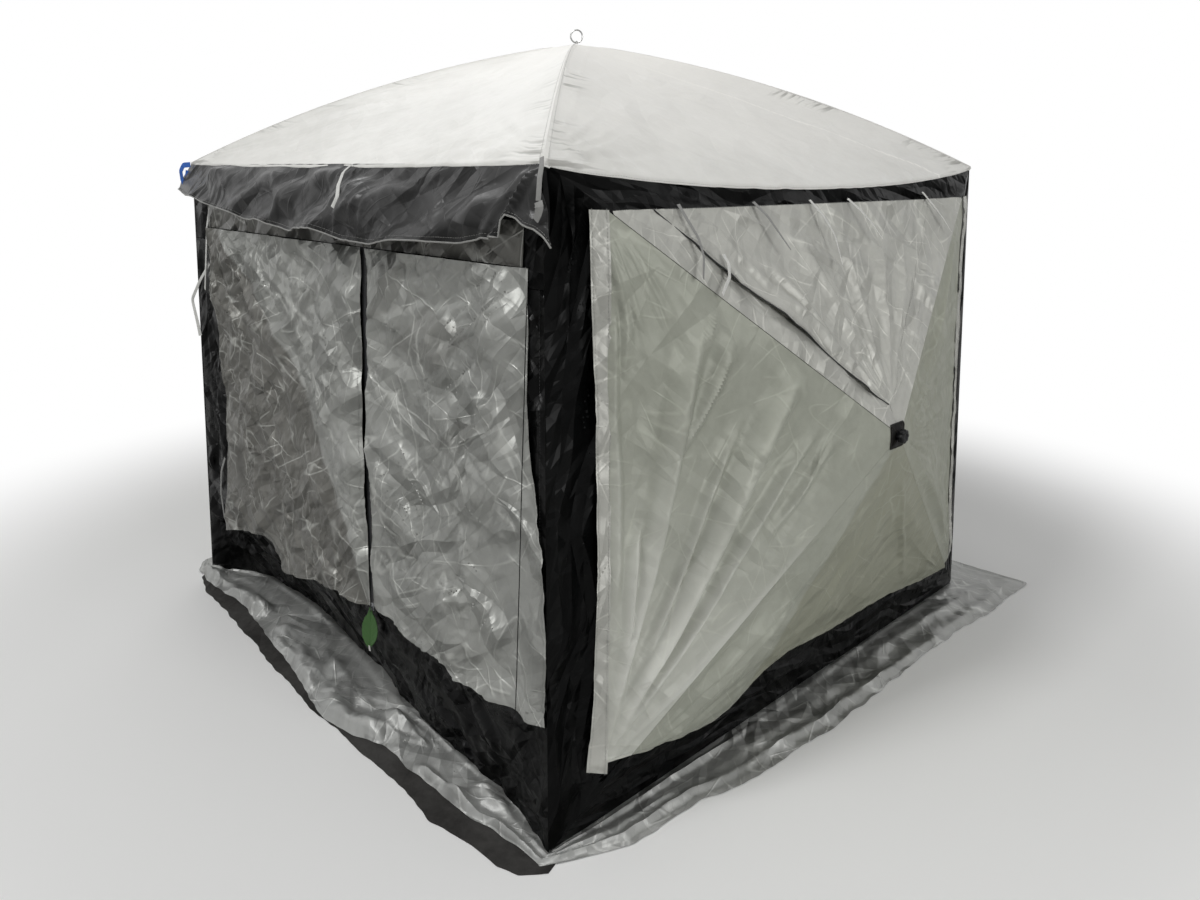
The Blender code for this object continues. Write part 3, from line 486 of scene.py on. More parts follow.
# A piece from a grid of points on its outer face
def clothMesh(name, outer, thick, uv, out, look, shade=None, band=None, closed=False):
    rows, cols = outer.shape[:2]
    if closed:
        wrapped = np.concatenate([outer[:, -1:], outer, outer[:, :1]], 1)
        du = wrapped[:, 2:] - wrapped[:, :-2]
    else:
        du = np.gradient(outer, axis=1)
    normal = unit(np.cross(du, np.gradient(outer, axis=0)))
    flip = float((normal * out).sum()) < 0
    if flip:
        normal = -normal
    grids[name] = (outer, normal)
    inner = outer - normal * thick
    points = np.concatenate([outer.reshape(-1, 3), inner.reshape(-1, 3)]) + middle
    n = rows * cols
    index = np.arange(n).reshape(rows, cols)
    if closed:
        index = np.concatenate([index, index[:, :1]], 1)
    face = np.stack([index[:-1, :-1], index[:-1, 1:], index[1:, 1:], index[1:, :-1]], -1).reshape(-1, 4)
    edges = [np.stack([index[0, :-1], index[0, 1:]], 1), np.stack([index[-1, 1:], index[-1, :-1]], 1)]
    if not closed:
        edges += [np.stack([index[:-1, -1], index[1:, -1]], 1), np.stack([index[1:, 0], index[:-1, 0]], 1)]
    edge = np.concatenate(edges)
    rim = np.stack([edge[:, 1], edge[:, 0], edge[:, 0] + n, edge[:, 1] + n], 1)
    faces = np.concatenate([face, face[:, ::-1] + n, rim])
    if flip:
        faces = faces[:, ::-1]
    mesh = bpy.data.meshes.new(name)
    mesh.vertices.add(len(points))
    mesh.vertices.foreach_set("co", points.ravel())
    mesh.loops.add(faces.size)
    mesh.loops.foreach_set("vertex_index", faces.ravel().astype(np.int32))
    mesh.polygons.add(len(faces))
    mesh.polygons.foreach_set("loop_start", np.arange(0, faces.size, 4, dtype=np.int32))
    mesh.update(calc_edges=True)
    both = np.concatenate([uv.reshape(-1, 2)] * 2)
    mesh.uv_layers.new(name="cloth").data.foreach_set("uv", both[faces.ravel()].ravel())
    for title, values in (("shade", shade), ("band", band)):
        if values is not None:
            attribute = mesh.attributes.new(title, "FLOAT", "POINT")
            attribute.data.foreach_set("value", np.tile(values.ravel(), 2).astype(np.float32))
    mesh.shade_smooth()
    mesh.set_sharp_from_angle(angle=sharpAngle)
    mesh.materials.append(looks[look])
    return addObject(name, mesh)


def closedRows(grid):
    return np.concatenate([grid, grid[:, :1]], 1)


def gridArea(grid):
    a, b, c, d = grid[:-1, :-1], grid[:-1, 1:], grid[1:, 1:], grid[1:, :-1]
    first = np.linalg.norm(np.cross(b - a, c - a), axis=-1).sum()
    second = np.linalg.norm(np.cross(c - a, d - a), axis=-1).sum()
    return float(first + second) / 2


def gridSize(grid):
    wide = np.linalg.norm(np.diff(grid, axis=1), axis=-1).sum(axis=1).max()
    long = np.linalg.norm(np.diff(grid, axis=0), axis=-1).sum(axis=0).max()
    return float(wide), float(long)


def declare(flatGrid, cut=None):
    # cut holds each point's place on the flat cloth, in metres, where the cloth isn't a plain strip
    wide, long = gridSize(flatGrid) if cut is None else np.ptp(np.reshape(cut, (-1, 2)), axis=0).tolist()
    area = gridArea(flatGrid)
    while wide * long < area:
        wide *= 1.02
    while area < 0.31 * wide * long:
        wide *= 0.98


def settle(piece, body, nodes=()):
    # body is the node that it moves with, or what a blend between two asks for
    if isinstance(body, str):
        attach(piece, body)
    else:
        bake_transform(piece)
    if nodes:
        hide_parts(*nodes)


def mend(mesh, merge=0.0):
    work = bmesh.new()
    work.from_mesh(mesh)
    if merge:
        bmesh.ops.remove_doubles(work, verts=work.verts, dist=merge)
    bmesh.ops.recalc_face_normals(work, faces=work.faces)
    work.to_mesh(mesh)
    work.free()


def ringMesh(name, rings, look, flat=None):
    # a skin over rings of points, closed at both ends; flat holds each point's place on the cloth
    index = np.arange(rings.shape[0] * rings.shape[1]).reshape(rings.shape[:2])
    near, far = index[:-1], index[1:]
    quads = np.stack([near, np.roll(near, -1, 1), np.roll(far, -1, 1), far], -1).reshape(-1, 4)
    mesh = bpy.data.meshes.new(name)
    faces = [tuple(q) for q in quads] + [tuple(index[0][::-1]), tuple(index[-1])]
    mesh.from_pydata([tuple(p) for p in rings.reshape(-1, 3) + middle], [], faces)
    if flat is not None:
        layer = mesh.uv_layers.new(name="cloth")
        for loop in mesh.loops:
            layer.data[loop.index].uv = flat[loop.vertex_index]
    mend(mesh)
    mesh.shade_smooth()
    mesh.materials.append(looks[look])
    return addObject(name, mesh)


def tube(name, line, radius, look):
    # for pipings and cords
    line = np.asarray(line, float)
    way = unit(np.gradient(line, axis=0))
    side = unit(np.cross(way, up + 1e-3))
    other = np.cross(way, side)
    turn = np.linspace(0, 2 * np.pi, 8, endpoint=False)
    ring = np.cos(turn)[None, :, None] * side[:, None] + np.sin(turn)[None, :, None] * other[:, None]
    flat = np.stack(np.broadcast_arrays(turn[None, :] * radius, lengthsAlong(line)[:, None]), -1).reshape(-1, 2)
    return ringMesh(name, line[:, None] + ring * radius, look, flat)


def cloth(name, grid, flat, thick, uv, out, look, body, slot, nodes=(), held="stretched", *, restsOn, **masks):
    piece = clothMesh(name, grid, thick, uv, out, look, **masks)
    settle(piece, body, nodes)
    declare(flat, uv)


hemPlaces = {"start": np.s_[:3], "end": np.s_[-3:], "bottom": np.s_[-3:],
             "low": np.s_[:, :3], "left": np.s_[:, :3], "right": np.s_[:, -3:]}


def hemMask(x, hems):
    # 1 on the three outer rows or columns of each hemmed edge
    hem = np.zeros(x.shape)
    for side in hems:
        hem[hemPlaces[side]] = 1
    return hem


def hemmedColumns(low, high, fullAt, share):
    # columns with a hem at both edges, which is drawn together where the cloth is narrower than fullAt
    total = high - low
    start = hemSteps[None] * np.minimum(1, total / fullAt)[:, None]
    inner = (low + start[:, -1])[:, None] + (total - 2 * start[:, -1])[:, None] * share[None, 1:-1]
    return np.concatenate([low[:, None] + start, inner, high[:, None] - start[:, ::-1]], 1)


def crumpled(x, y, seed, size, folds, dents):
    # folds and dents in metres at a place on the flat cloth
    return (folds * shards(x, y, seed, size, 0.5, 1.7) + folds * 0.8 * shards(x, y, seed + 11, size * 0.8, 2.1, 2.2)
            + folds * 0.5 * creases(x, y, seed + 400, size * 0.6)
            + dents * shards(x, y, seed + 200, size * 0.42, 1.2, 1.6)
            + dents * 0.6 * shards(x, y, seed + 300, size * 0.26, 2.8, 1.9))


# Hub walls: four facets from the seams up to the hub, each with its own flat coordinates
wallOut, wallUp = np.array([leanUp, 0.0, leanOut]), np.array([-leanOut, 0, leanUp])
wallAcross = np.array([0, 1.0, 0])
corners = {
    "topLeft": (tent["halfEave"], -tent["halfEave"], tent["eaveHeight"]),
    "topRight": (tent["halfEave"], tent["halfEave"], tent["eaveHeight"]),
    "bottomRight": (tent["halfBase"], tent["halfBase"], tent["foot"]),
    "bottomLeft": (tent["halfBase"], -tent["halfBase"], tent["foot"]),
}
peak = (1.32456, 0.0, 0.9085)
sides = {
    "top": ("topLeft", "topRight"),
    "right": ("topRight", "bottomRight"),
    "bottom": ("bottomRight", "bottomLeft"),
    "left": ("bottomLeft", "topLeft"),
}


class Facet:
    def __init__(self, side, spin):
        start, end, top = (turnZ(np.array(p, float), spin) for p in (*(corners[c] for c in sides[side]), peak))
        self.start = start
        self.length = float(np.linalg.norm(end - start))
        self.across = (end - start) / self.length
        rise = top - start
        self.peakX = float(rise @ self.across)
        self.rest = self.length - self.peakX
        inward = rise - self.peakX * self.across
        self.peakY = float(np.linalg.norm(inward))
        self.inward = inward / self.peakY
        out = np.cross(self.across, self.inward)
        self.out = out * np.sign(out @ turnZ(wallOut, spin))

    def put(self, x, y, h=0.0):
        x, y, h = np.broadcast_arrays(x, y, h)
        return self.start + x[..., None] * self.across + y[..., None] * self.inward + h[..., None] * self.out

    def ridge(self, x):
        return np.where(x < self.peakX, x * self.peakY / self.peakX, (self.length - x) * self.peakY / self.rest)

    def gap(self, x, y):
        first = (x * self.peakY - y * self.peakX) / math.hypot(self.peakX, self.peakY)
        second = ((self.length - x) * self.peakY - y * self.rest) / math.hypot(self.rest, self.peakY)
        return np.minimum(first, second)

    def reach(self, x, hole):
        # how far the cloth runs up to, at a ridge or round the hub
        cut = self.peakY - np.sqrt(np.clip(hole**2 - (x - self.peakX) ** 2, 0, None))
        cut = np.where(np.abs(x - self.peakX) < hole, cut, 9.0)
        return np.minimum(self.ridge(x) - 0.0001, cut)

    def hollow(self, x, y):
        return -wallShape["hollow"] * smooth(y, 0, 0.26) * smooth(self.gap(x, y), 0, 0.24)


def facetCloth(name, facet, x, y, h, look, body, nodes=(), thick=0.0007, slot="silver_fabric",
               **more):
    cloth(name, facet.put(x, y, h), facet.put(x, y), thick, np.stack([x, y], -1), facet.out, look, body, slot, nodes,
          **more)


wallShape = {
    "hollow": 0.012,
    "coverLift": 0.0016,
    "foldHeight": 0.036,
    "foldSoft": 0.014,
    "panelThick": 0.0009,
    "panelHole": 0.026,
    "coverHole": 0.031,
    "hemRise": 0.0007,
    "headerSeam": (0.16, 1.80),
    "headerDown": 0.1125,
    "headerLift": 0.0048,
    "bands": {"top": 0.118, "right": 0.135, "bottom": 0.24, "left": 0.150},
}
walls = {
    "right": {"spin": 0, "step": 0.0085, "panelStep": 0.012, "eaveDrop": 0.060},
    "back": {"spin": 90, "step": 0.0135, "panelStep": 0.018, "eaveDrop": 0.045},
    "left": {"spin": 180, "step": 0.0135, "panelStep": 0.018, "eaveDrop": 0.050},
}


def eaveDrop(wall, x):
    half = tent["halfEave"]
    u = np.clip((x - half) / half, -1, 1)
    return walls[wall]["eaveDrop"] * np.clip(1 - u * u, 0, 1) ** 0.75


def wallPanel(wall, side, facet, seed):
    node, step = f"{wall}_wall_panel_{side}", walls[wall]["panelStep"]
    xs = np.linspace(0.010, facet.length - 0.010, round(facet.length / step))
    low = eaveDrop(wall, xs) if side == "top" else 0 * xs
    high = np.maximum(facet.reach(xs, wallShape["panelHole"]), low + 0.004)
    # closer rows at the seam, where the panel is solid cloth
    share = np.concatenate([np.linspace(0, 0.2, round(0.16 / step), endpoint=False),
                            np.linspace(0.2, 1, round(0.62 / step))])
    y = low[:, None] + share * (high - low)[:, None]
    x = np.broadcast_to(xs[:, None], y.shape)
    gap = facet.gap(x, y)
    fade = smooth(y - low[:, None], 0, 0.09) * smooth(gap, 0, 0.05)
    folds = (np.abs(crumpled(x * 0.4, y, seed, 0.08, 0.006, 0.0035))
             + 0.010 * smooth(noise(x * 1.6, y * 20, seed + 9), -0.2, 0.5))
    h = facet.hollow(x, y) - np.clip(folds, 0, 0.020) * fade
    band = np.minimum(y - wallShape["bands"][side], gap - 0.014)
    facetCloth(f"{wall}WallPanel{side.capitalize()}", facet, x, y, h, "mesh", node, [node], wallShape["panelThick"],
               "black_fabric", restsOn=[f"{wall}_wall_hub"], band=(band < 0).astype(float))


def coverGrid(xs, low, high):
    # rows of points from low to high, with a hem's width of closer ones at the start
    total = np.maximum(high - low, 0.003)
    count = max(12, round(float(total.max()) / (xs[1] - xs[0])))
    start = hemSteps[None] * np.minimum(1, total / 0.03)[:, None]
    rest = start[:, -1:] + (total[:, None] - start[:, -1:]) * np.linspace(0, 1, count)[None, 1:]
    y = low[:, None] + np.concatenate([start, rest], 1)
    return np.broadcast_to(xs[:, None], y.shape).copy(), y


def rowsOf(first, last, step, hemAt=()):
    count = round((last - first) / step)
    if "start" in hemAt:
        return np.concatenate([first + hemSteps[:3], np.linspace(first + hemSteps[3], last, count)])
    if "end" in hemAt:
        return np.concatenate([np.linspace(first, last - hemSteps[3], count), last - hemSteps[2::-1]])
    return np.linspace(first, last, count)


coverShapes = {
    "left": {
        "first": 0.206, "last": 1.528, "hems": ("start",),
        "low": [(0.20, 0.150), (0.40, 0.150), (1.10, 0.148), (1.53, 0.112)],
        "fans": [((0.15, 0.08), 5, 1.15, 0.010), ((1.60, 0.10), 6, 0.5, 0.008)],
        "pulls": [(0.21, 0.15, 1.35, 0.43, 0.0096, 0.03, 0.0377), (0.21, 0.15, 1.2, 0.74, 0.0096, 0.0338, 0.0493),
                  (0.22, 0.16, 1.05, 0.82, 0.0064, 0.0165, 0.0261), (0.21, 0.165, 0.76, 0.94, 0.008, 0.0338, 0.0377),
                  (0.24, 0.27, 0.59, 0.74, 0.0048, 0.015, 0.0188), (0.38, 0.19, 0.83, 0.25, 0.0064, 0.0135, 0.0232),
                  (0.8, 0.234, 1.26, 0.52, 0.008, 0.0188, 0.0232), (0.54, 0.182, 1.38, 0.172, 0.008, 0.0165, 0.0203),
                  (0.38, 0.23, 1.05, 0.535, 0.0064, 0.0135, 0.0217), (0.28, 0.34, 0.7, 0.9, 0.0064, 0.012, 0.0145),
                  (0.69, 0.59, 0.98, 0.865, 0.0048, 0.0105, 0.0145), (1.38, 0.176, 1.16, 0.21, 0.0048, 0.0075, 0.0116),
                  (1.42, 0.23, 1.4, 0.41, 0.004, 0.006, 0.0087), (0.95, 0.3, 1.42, 0.47, 0.008, 0.0135, 0.0145)],
    },
    "bottom": {
        "first": 0.172, "last": 1.921, "hems": ("low",),
        # painted shade on the wall beyond this line from the hub to the floor
        "shadeLine": ((1.08, 0.94), (1.43, 0.155)),
        "low": [(0.165, 0.143), (0.38, 0.160), (0.694, 0.192), (1.007, 0.193), (1.243, 0.217), (1.359, 0.196),
                (1.439, 0.158), (1.50, 0.130), (1.573, 0.114), (1.70, 0.132), (1.83, 0.172), (1.927, 0.203)],
        "fans": [((1.98, 0.12), 7, 0.85, 0.012), ((1.08, 0.94), 6, 0.60, 0.006), ((0.15, 0.10), 6, 0.6, 0.008)],
        "pulls": [(1.95, 0.16, 1.28, 0.52, 0.008, 0.03, 0.0319), (1.95, 0.16, 1.45, 0.3, 0.0064, 0.0188, 0.0232),
                  (1.93, 0.17, 1.15, 0.7, 0.0064, 0.0263, 0.0261), (1.2, 0.24, 1.02, 0.6, 0.0048, 0.012, 0.0116),
                  (0.55, 0.22, 0.95, 0.75, 0.0048, 0.012, 0.0116), (0.9, 0.22, 0.6, 0.4, 0.0048, 0.009, 0.0101)],
    },
    "right": {
        "first": 0.096, "last": 1.452, "hems": ("end",),
        "low": [(0.09, 0.112), (0.50, 0.125), (1.20, 0.128), (1.46, 0.110)],
        "fans": [((0.67, 1.066), 11, 0.90, 0.012), ((1.50, 0.10), 7, 0.70, 0.008)],
        "pulls": [(0.1, 0.14, 0.6, 0.8, 0.0064, 0.0188, 0.0203), (1.45, 0.13, 0.75, 0.9, 0.0064, 0.0225, 0.0261),
                  (0.68, 1, 0.8, 0.3, 0.0048, 0.015, 0.0145), (0.68, 1, 0.45, 0.35, 0.0048, 0.015, 0.0145)],
    },
}


def windCover(wall, side, facet, seed):
    shape = coverShapes[side]
    xs = rowsOf(shape["first"], shape["last"], walls[wall]["step"], shape["hems"])
    low = readOff(shape["low"], xs)
    if side == "bottom":
        low = low + 0.006 * noise(xs * 9, xs * 0, seed) + 0.004 * noise(xs * 23, xs * 0, seed + 1)
    x, y = coverGrid(xs, low, facet.reach(xs, wallShape["coverHole"]))
    folds = sum(size * fan(x, y, centre, count, seed + k, reach) for k, (centre, count, reach, size) in
                enumerate(shape["fans"]))
    ridges = pulls(x, y, shape["pulls"])
    folds = folds + crumpled(x, y, seed + 50, 0.16, 0.0026, 0.0016) + ridges
    lift = np.maximum(folds + 0.0060, 0)
    # the highest folds level off softly
    full, soft = wallShape["foldHeight"], wallShape["foldSoft"]
    lift = np.where(lift > full, full + soft * np.tanh((lift - full) / soft), lift)
    lift = lift * smooth(facet.gap(x, y), 0.0, 0.07) * (0.35 + 0.65 * smooth(y - low[:, None], 0, 0.06))
    h = (facet.hollow(x, y) + wallShape["coverLift"] + lift
         + hemMask(x, shape["hems"]) * wallShape["hemRise"])
    # the shade mask: painted shade beyond a line on the bottom facet; on the right facet it darkens a little towards
    # the hub; on the left facet it paints light, towards the lower corner and on the crests of the long folds
    if side == "bottom":
        (xTop, yTop), (xFoot, yFoot) = shape["shadeLine"]
        shade = smooth((xTop - x) - (xTop - xFoot) * (yTop - y) / (yTop - yFoot), -0.010, 0.012)
    elif side == "right":
        shade = 0.25 + 0.25 * smooth(y, 0.1, 0.9)
    else:
        shade = (0.62 * smooth(1.25 - x - 0.35 * y, 0.0, 1.0)
                 + 0.42 * smooth(ridges, 0.003, 0.022) * smooth(1.5 - x - 0.5 * y, 0.0, 1.0))
        shade = np.clip(shade, 0, 1)
    part = side.capitalize()
    facetCloth(f"{wall}WindCover{part}", facet, x, y, h, "sageLit" if side == "left" else "sage",
               f"{wall}_wall_panel_{side}", [f"{wall}_wall_cover_{side}"], restsOn=[f"{wall}WallPanel{part}"],
               shade=shade)


flapShape = {
    # each side edge as (down from the seam, along it)
    "left": [(0.113, 0.280), (0.199, 0.381), (0.304, 0.480), (0.394, 0.609), (0.503, 0.744), (0.637, 0.879),
             (0.699, 0.972)],
    "right": [(0.113, 1.590), (0.149, 1.556), (0.368, 1.333), (0.544, 1.145), (0.699, 0.996)],
    "first": 0.113,
    "last": 0.699,
    "piping": 0.0019,
    "pulls": [(0.98, 0.70, 0.62, 0.30, 0.004, 0.022, 0.014), (0.98, 0.70, 0.80, 0.16, 0.004, 0.020, 0.012),
              (0.98, 0.70, 1.02, 0.17, 0.004, 0.018, 0.012), (0.98, 0.70, 1.22, 0.22, 0.004, 0.022, 0.014),
              (0.98, 0.70, 1.42, 0.17, 0.004, 0.014, 0.008), (0.45, 0.17, 0.66, 0.36, 0.006, 0.016, 0.010),
              (0.70, 0.15, 1.00, 0.34, 0.006, 0.016, 0.010), (0.60, 0.22, 0.86, 0.55, 0.008, 0.018, 0.012),
              (1.30, 0.16, 1.10, 0.40, 0.006, 0.014, 0.009), (0.36, 0.20, 0.58, 0.22, 0.005, 0.012, 0.008)],
}
# the silver cloth round the window: it starts lap above the flap's edge, or at the seam where it is free
surroundShapes = {
    "Left": {"first": 0.150, "last": 0.9795, "lap": 0.030, "free": (0.0, 0.27), "fan": (0.0055, (0.12, 0.10), 9, 0.5),
             "crush": (0.0022, 0.0016), "sleeve": (0.052, 0.048, 0.0012)},
    "Right": {"first": 0.9805, "last": 1.812, "lap": 0.035, "free": (1.60, 2.0), "fan": (0.006, (0.98, 0.79), 26, 0.9),
              "crush": (0.0015, 0.0012), "sleeve": (0.040, 0.036, 0.0008)},
}


def windowSurround(wall, facet, seed):
    for name, shape in surroundShapes.items():
        edge = np.array(flapShape[name.lower()])
        edge = edge[np.argsort(edge[:, 1])]
        xs = rowsOf(shape["first"], shape["last"], walls[wall]["step"])
        low = np.maximum(np.interp(xs, edge[:, 1], edge[:, 0]) - shape["lap"], flapShape["first"])
        low = np.where((xs > shape["free"][0]) & (xs < shape["free"][1]), flapShape["first"], low)
        x, y = coverGrid(xs, low, facet.reach(xs, wallShape["coverHole"]))
        gap = facet.gap(x, y)
        size, centre, count, reach = shape["fan"]
        folds = size * fan(x, y, centre, count, seed, reach) + crumpled(x, y, seed + 3, 0.06, *shape["crush"])
        outer, inner, rise = shape["sleeve"]
        h = (facet.hollow(x, y) + wallShape["coverLift"]
             + np.clip(folds + 0.002, 0, 0.012) * smooth(gap, 0, 0.05) + smooth(gap, outer, inner) * rise)
        facetCloth(f"{wall}WindowSide{name}", facet, x, y, h, "silverPale", f"{wall}_wall_panel_top",
                   restsOn=[f"{wall}WallPanelTop"], shade=np.zeros(x.shape))


def windowFlap(wall, facet, seed):
    node, step = f"{wall}_wall_window_flap", walls[wall]["step"]
    first, last = flapShape["first"], flapShape["last"]
    ys = np.linspace(first, last, round((last - first) / step))
    low, high = (readOff(flapShape[side], ys) for side in ("left", "right"))
    low = low + 0.004 * noise(ys * 14, ys * 0, seed)
    x = hemmedColumns(low, high, 0.05, np.linspace(0, 1, round(float((high - low).max()) / step)))
    y = np.broadcast_to(ys[:, None], x.shape)
    folds = (0.005 * fan(x, y, (0.985, 0.78), 8, seed, 0.60) + 0.004 * fan(x, y, (0.30, 0.08), 7, seed + 4, 0.5)
             + crumpled(x, y, seed + 8, 0.13, 0.0050, 0.0030) + pulls(x, y, flapShape["pulls"]))
    loose = 0.010 * smooth(x - low[:, None], 0.16, 0.0) * smooth(y, 0.14, 0.30) * (0.6 + 0.4 * np.sin(y * 21))
    h = (0.0034 + np.clip(folds + 0.004, 0, 0.026) * smooth(y, first, 0.30) + loose * smooth(y, 0.70, 0.62)
         + hemMask(x, ("left", "right")) * wallShape["hemRise"])
    h = h + facet.hollow(x, y)
    facetCloth(f"{wall}WindowFlap", facet, x, y, h, "silverPale", node, [node], held="hung",
               restsOn=[f"{wall}WallPanelTop"], shade=np.zeros(x.shape))
    line = facet.put(x[:, 0] - 0.0012, y[:, 0], h[:, 0] - 0.0008)
    settle(tube(f"{wall}FlapPiping", line, flapShape["piping"], "blackTape"), node)


# The strips along the wall's upright seams: edges as (along the seam, in from it)
stripShapes = {
    "left": {
        "first": 0.188, "last": 1.531, "hems": ("start",), "slant": 0.022,
        "low": [(0.189, 0.100), (0.213, 0.102), (0.386, 0.119), (0.642, 0.129), (0.888, 0.126), (1.121, 0.120),
                (1.342, 0.109), (1.53, 0.101)],
        "high": [(0.189, 0.158), (0.4, 0.163), (1.1, 0.165), (1.53, 0.150)],
    },
    "right": {
        "first": 0.093, "last": 1.436, "hems": ("end",), "slant": 0.0,
        "low": [(0.09, 0.100), (0.5, 0.112), (1.1, 0.114), (1.44, 0.098)],
        "high": [(0.09, 0.148), (0.5, 0.160), (1.1, 0.162), (1.44, 0.146)],
    },
    "shares": [0, 0.06, 0.12, 0.135, 0.3, 0.5, 0.7, 0.865, 0.88, 0.94, 1.0],
}


def edgeStrip(wall, side, facet, seed):
    shape, share = stripShapes[side], np.array(stripShapes["shares"])
    xs = rowsOf(shape["first"], shape["last"], walls[wall]["step"], shape["hems"])
    low, high = (readOff(shape[edge], xs) for edge in ("low", "high"))
    y = low[:, None] + share * (high - low)[:, None]
    x = xs[:, None] + shape["slant"] * (0.5 - share) * smooth(xs[0] + 0.12 - xs, 0, 0.12)[:, None]
    hem = np.broadcast_to(((share < 0.13) | (share > 0.87)).astype(float), y.shape)
    wave = 0.004 * smooth(noise(x * 9, y * 14, seed), -0.1, 0.4) + 0.0030 * creases(x, y, seed + 2, 0.035)
    ends = smooth(x, xs[0], xs[0] + 0.03) * smooth(xs[-1] - x, 0, 0.03)
    h = (facet.hollow(x, y) + 0.0062 + np.clip(wave, 0, 0.0075) * ends
         + hem * 0.0005 + 0.003 * smooth(facet.gap(x, y), 0, 0.05))
    part = side.capitalize()
    facetCloth(f"{wall}StormStrip{part}", facet, x, y, h, "silverPale", f"{wall}_wall_panel_{side}",
               restsOn=[f"{wall}WindCover{part}"], shade=np.zeros(x.shape))


patch = {
    "half": 0.036,
    "hole": 0.0125,
    "corner": 1.36,
    "thick": 0.0016,
    "shares": [*np.linspace(0, 0.86, 12), 0.875, 0.93, 0.985, 1.0],
    "turns": 96,
}


def hubPatch(wall, facets, spin):
    half, hole = patch["half"], patch["hole"]
    turn = np.linspace(0, 2 * np.pi, patch["turns"], endpoint=False)
    square = half / np.maximum(np.abs(np.cos(turn)), np.abs(np.sin(turn)))
    share = np.array(patch["shares"])[:, None]
    r = hole + (np.minimum(square, half * patch["corner"]) - hole) * share
    a, b = r * np.cos(turn), r * np.sin(turn)
    # it lies on the four ridges, which fall away from the hub
    tip = np.full(a.shape, -0.0088)
    for facet in facets.values():
        n = turnZ(facet.out, -spin)
        tip = np.minimum(tip, -((n @ wallAcross) * a + (n @ wallUp) * b) / (n @ wallOut))
    h = tip + 0.0046 + 0.0008 * np.abs(noise(a * 60, b * 60, 5)) + 0.0006 * (share > 0.87)
    flat = np.array(peak) + a[..., None] * wallAcross + b[..., None] * wallUp
    piece = clothMesh(f"{wall}HubPatch", turnZ(flat + h[..., None] * wallOut, spin), patch["thick"],
                      np.stack([a, b], -1), turnZ(wallOut, spin), "patchCloth", closed=True)
    settle(piece, f"{wall}_wall_hub", [f"{wall}_wall_patch"])
    round(gridArea(closedRows(turnZ(flat, spin))), 6)


# The clamp knob: a lobed head on a neck, in rings of radius, height and how deep the lobes are
knob = {
    "rings": [(0.0070, -0.0090, 0), (0.0132, -0.0060, 0), (0.0132, 0.0050, 0), (0.0148, 0.0062, 0.2),
              (0.0188, 0.0072, 0.7), (0.0204, 0.0090, 1), (0.0208, 0.0120, 1), (0.0208, 0.0190, 1), (0.0204, 0.0212, 1),
              (0.0188, 0.0230, 0.8), (0.0160, 0.0238, 0.4), (0.0096, 0.0240, 0), (0.0082, 0.0222, 0),
              (0.0030, 0.0220, 0)],
    "lobes": 8,
    "lobeDepth": 0.0016,
    "sunk": 0.0044,
}


def hubKnob(wall, spin):
    turn = np.linspace(0, 2 * np.pi, 96, endpoint=False)
    rings = []
    for radius, height, lobe in knob["rings"]:
        reach = radius - lobe * knob["lobeDepth"] * (1 - np.cos(knob["lobes"] * turn))
        rings.append(np.array(peak) + (reach * np.cos(turn))[:, None] * wallAcross
                     + (reach * np.sin(turn))[:, None] * wallUp + (height - knob["sunk"]) * wallOut)
    piece = ringMesh(f"{wall}HubKnob", turnZ(np.stack(rings), spin), "plastic")
    piece.data.set_sharp_from_angle(angle=sharpAngle)
    settle(piece, f"{wall}_wall_hub", [f"{wall}_wall_knob"])


for wallName, wallSet in walls.items():
    spin = wallSet["spin"]
    facets = wallSet["facets"] = {side: Facet(side, spin) for side in sides}
    for number, (side, facet) in enumerate(facets.items()):
        seed = 1000 + spin * 10 + number * 100
        wallPanel(wallName, side, facet, seed)
        if side != "top":
            windCover(wallName, side, facet, seed + 20)
        if side in ("left", "right"):
            edgeStrip(wallName, side, facet, seed + 40)
    windowSurround(wallName, facets["top"], 1700 + spin)
    windowFlap(wallName, facets["top"], 1800 + spin)
    hubPatch(wallName, facets, spin)
    hubKnob(wallName, spin)
    print("stage: wall", wallName)


# The roof: four gores that meet at the ridges
roof = {
    "step": {"right": 0.0095, "door": 0.0095, "back": 0.0145, "left": 0.0145},
    "eaveDrop": {"right": 0.060, "door": 0.010, "back": 0.045, "left": 0.050},
    "spins": {"right": 0, "back": 90, "left": 180, "door": 270},
    "eyeHole": 0.0138,
    "hubEdge": 0.03,
    "thick": 0.0011,
    "ridgeWidth": 0.011,
    "ridgeRise": 0.0014,
    "dropPower": 3.0,
    "dropOut": 0.4359,
    "dropDown": 0.90,
    "lip": np.array([(0.0030, 0, -0.0130), (0.0038, 0, -0.0080), (0.0030, 0, -0.0028)]),
    "lipDown": np.array([0.013, 0.008, 0.003]),
}


def roofHeight(share, u):
    climb = np.clip(share / (1 - tent["roofFlat"] / tent["halfEave"]), 0, 1)
    arch = 4 * climb * (1 - climb)
    return (tent["eaveHeight"] + 0.0019 + tent["roofRise"] * climb + tent["roofBow"] * arch
            - tent["roofSag"] * arch * (1 - u * u))


def eaveToHub(way):
    # what a blend asks for, along the ground from the eave to the top hub
    ends = (Vector(way * reach + middle + up * tent["eaveHeight"]) for reach in (tent["halfEave"], roof["hubEdge"]))
    return "tent", "roof_hub", *ends


def lipped(values):
    # three rows more before the first, for the lip that turns down at the eave
    return np.concatenate([values[:1]] * 3 + [values])


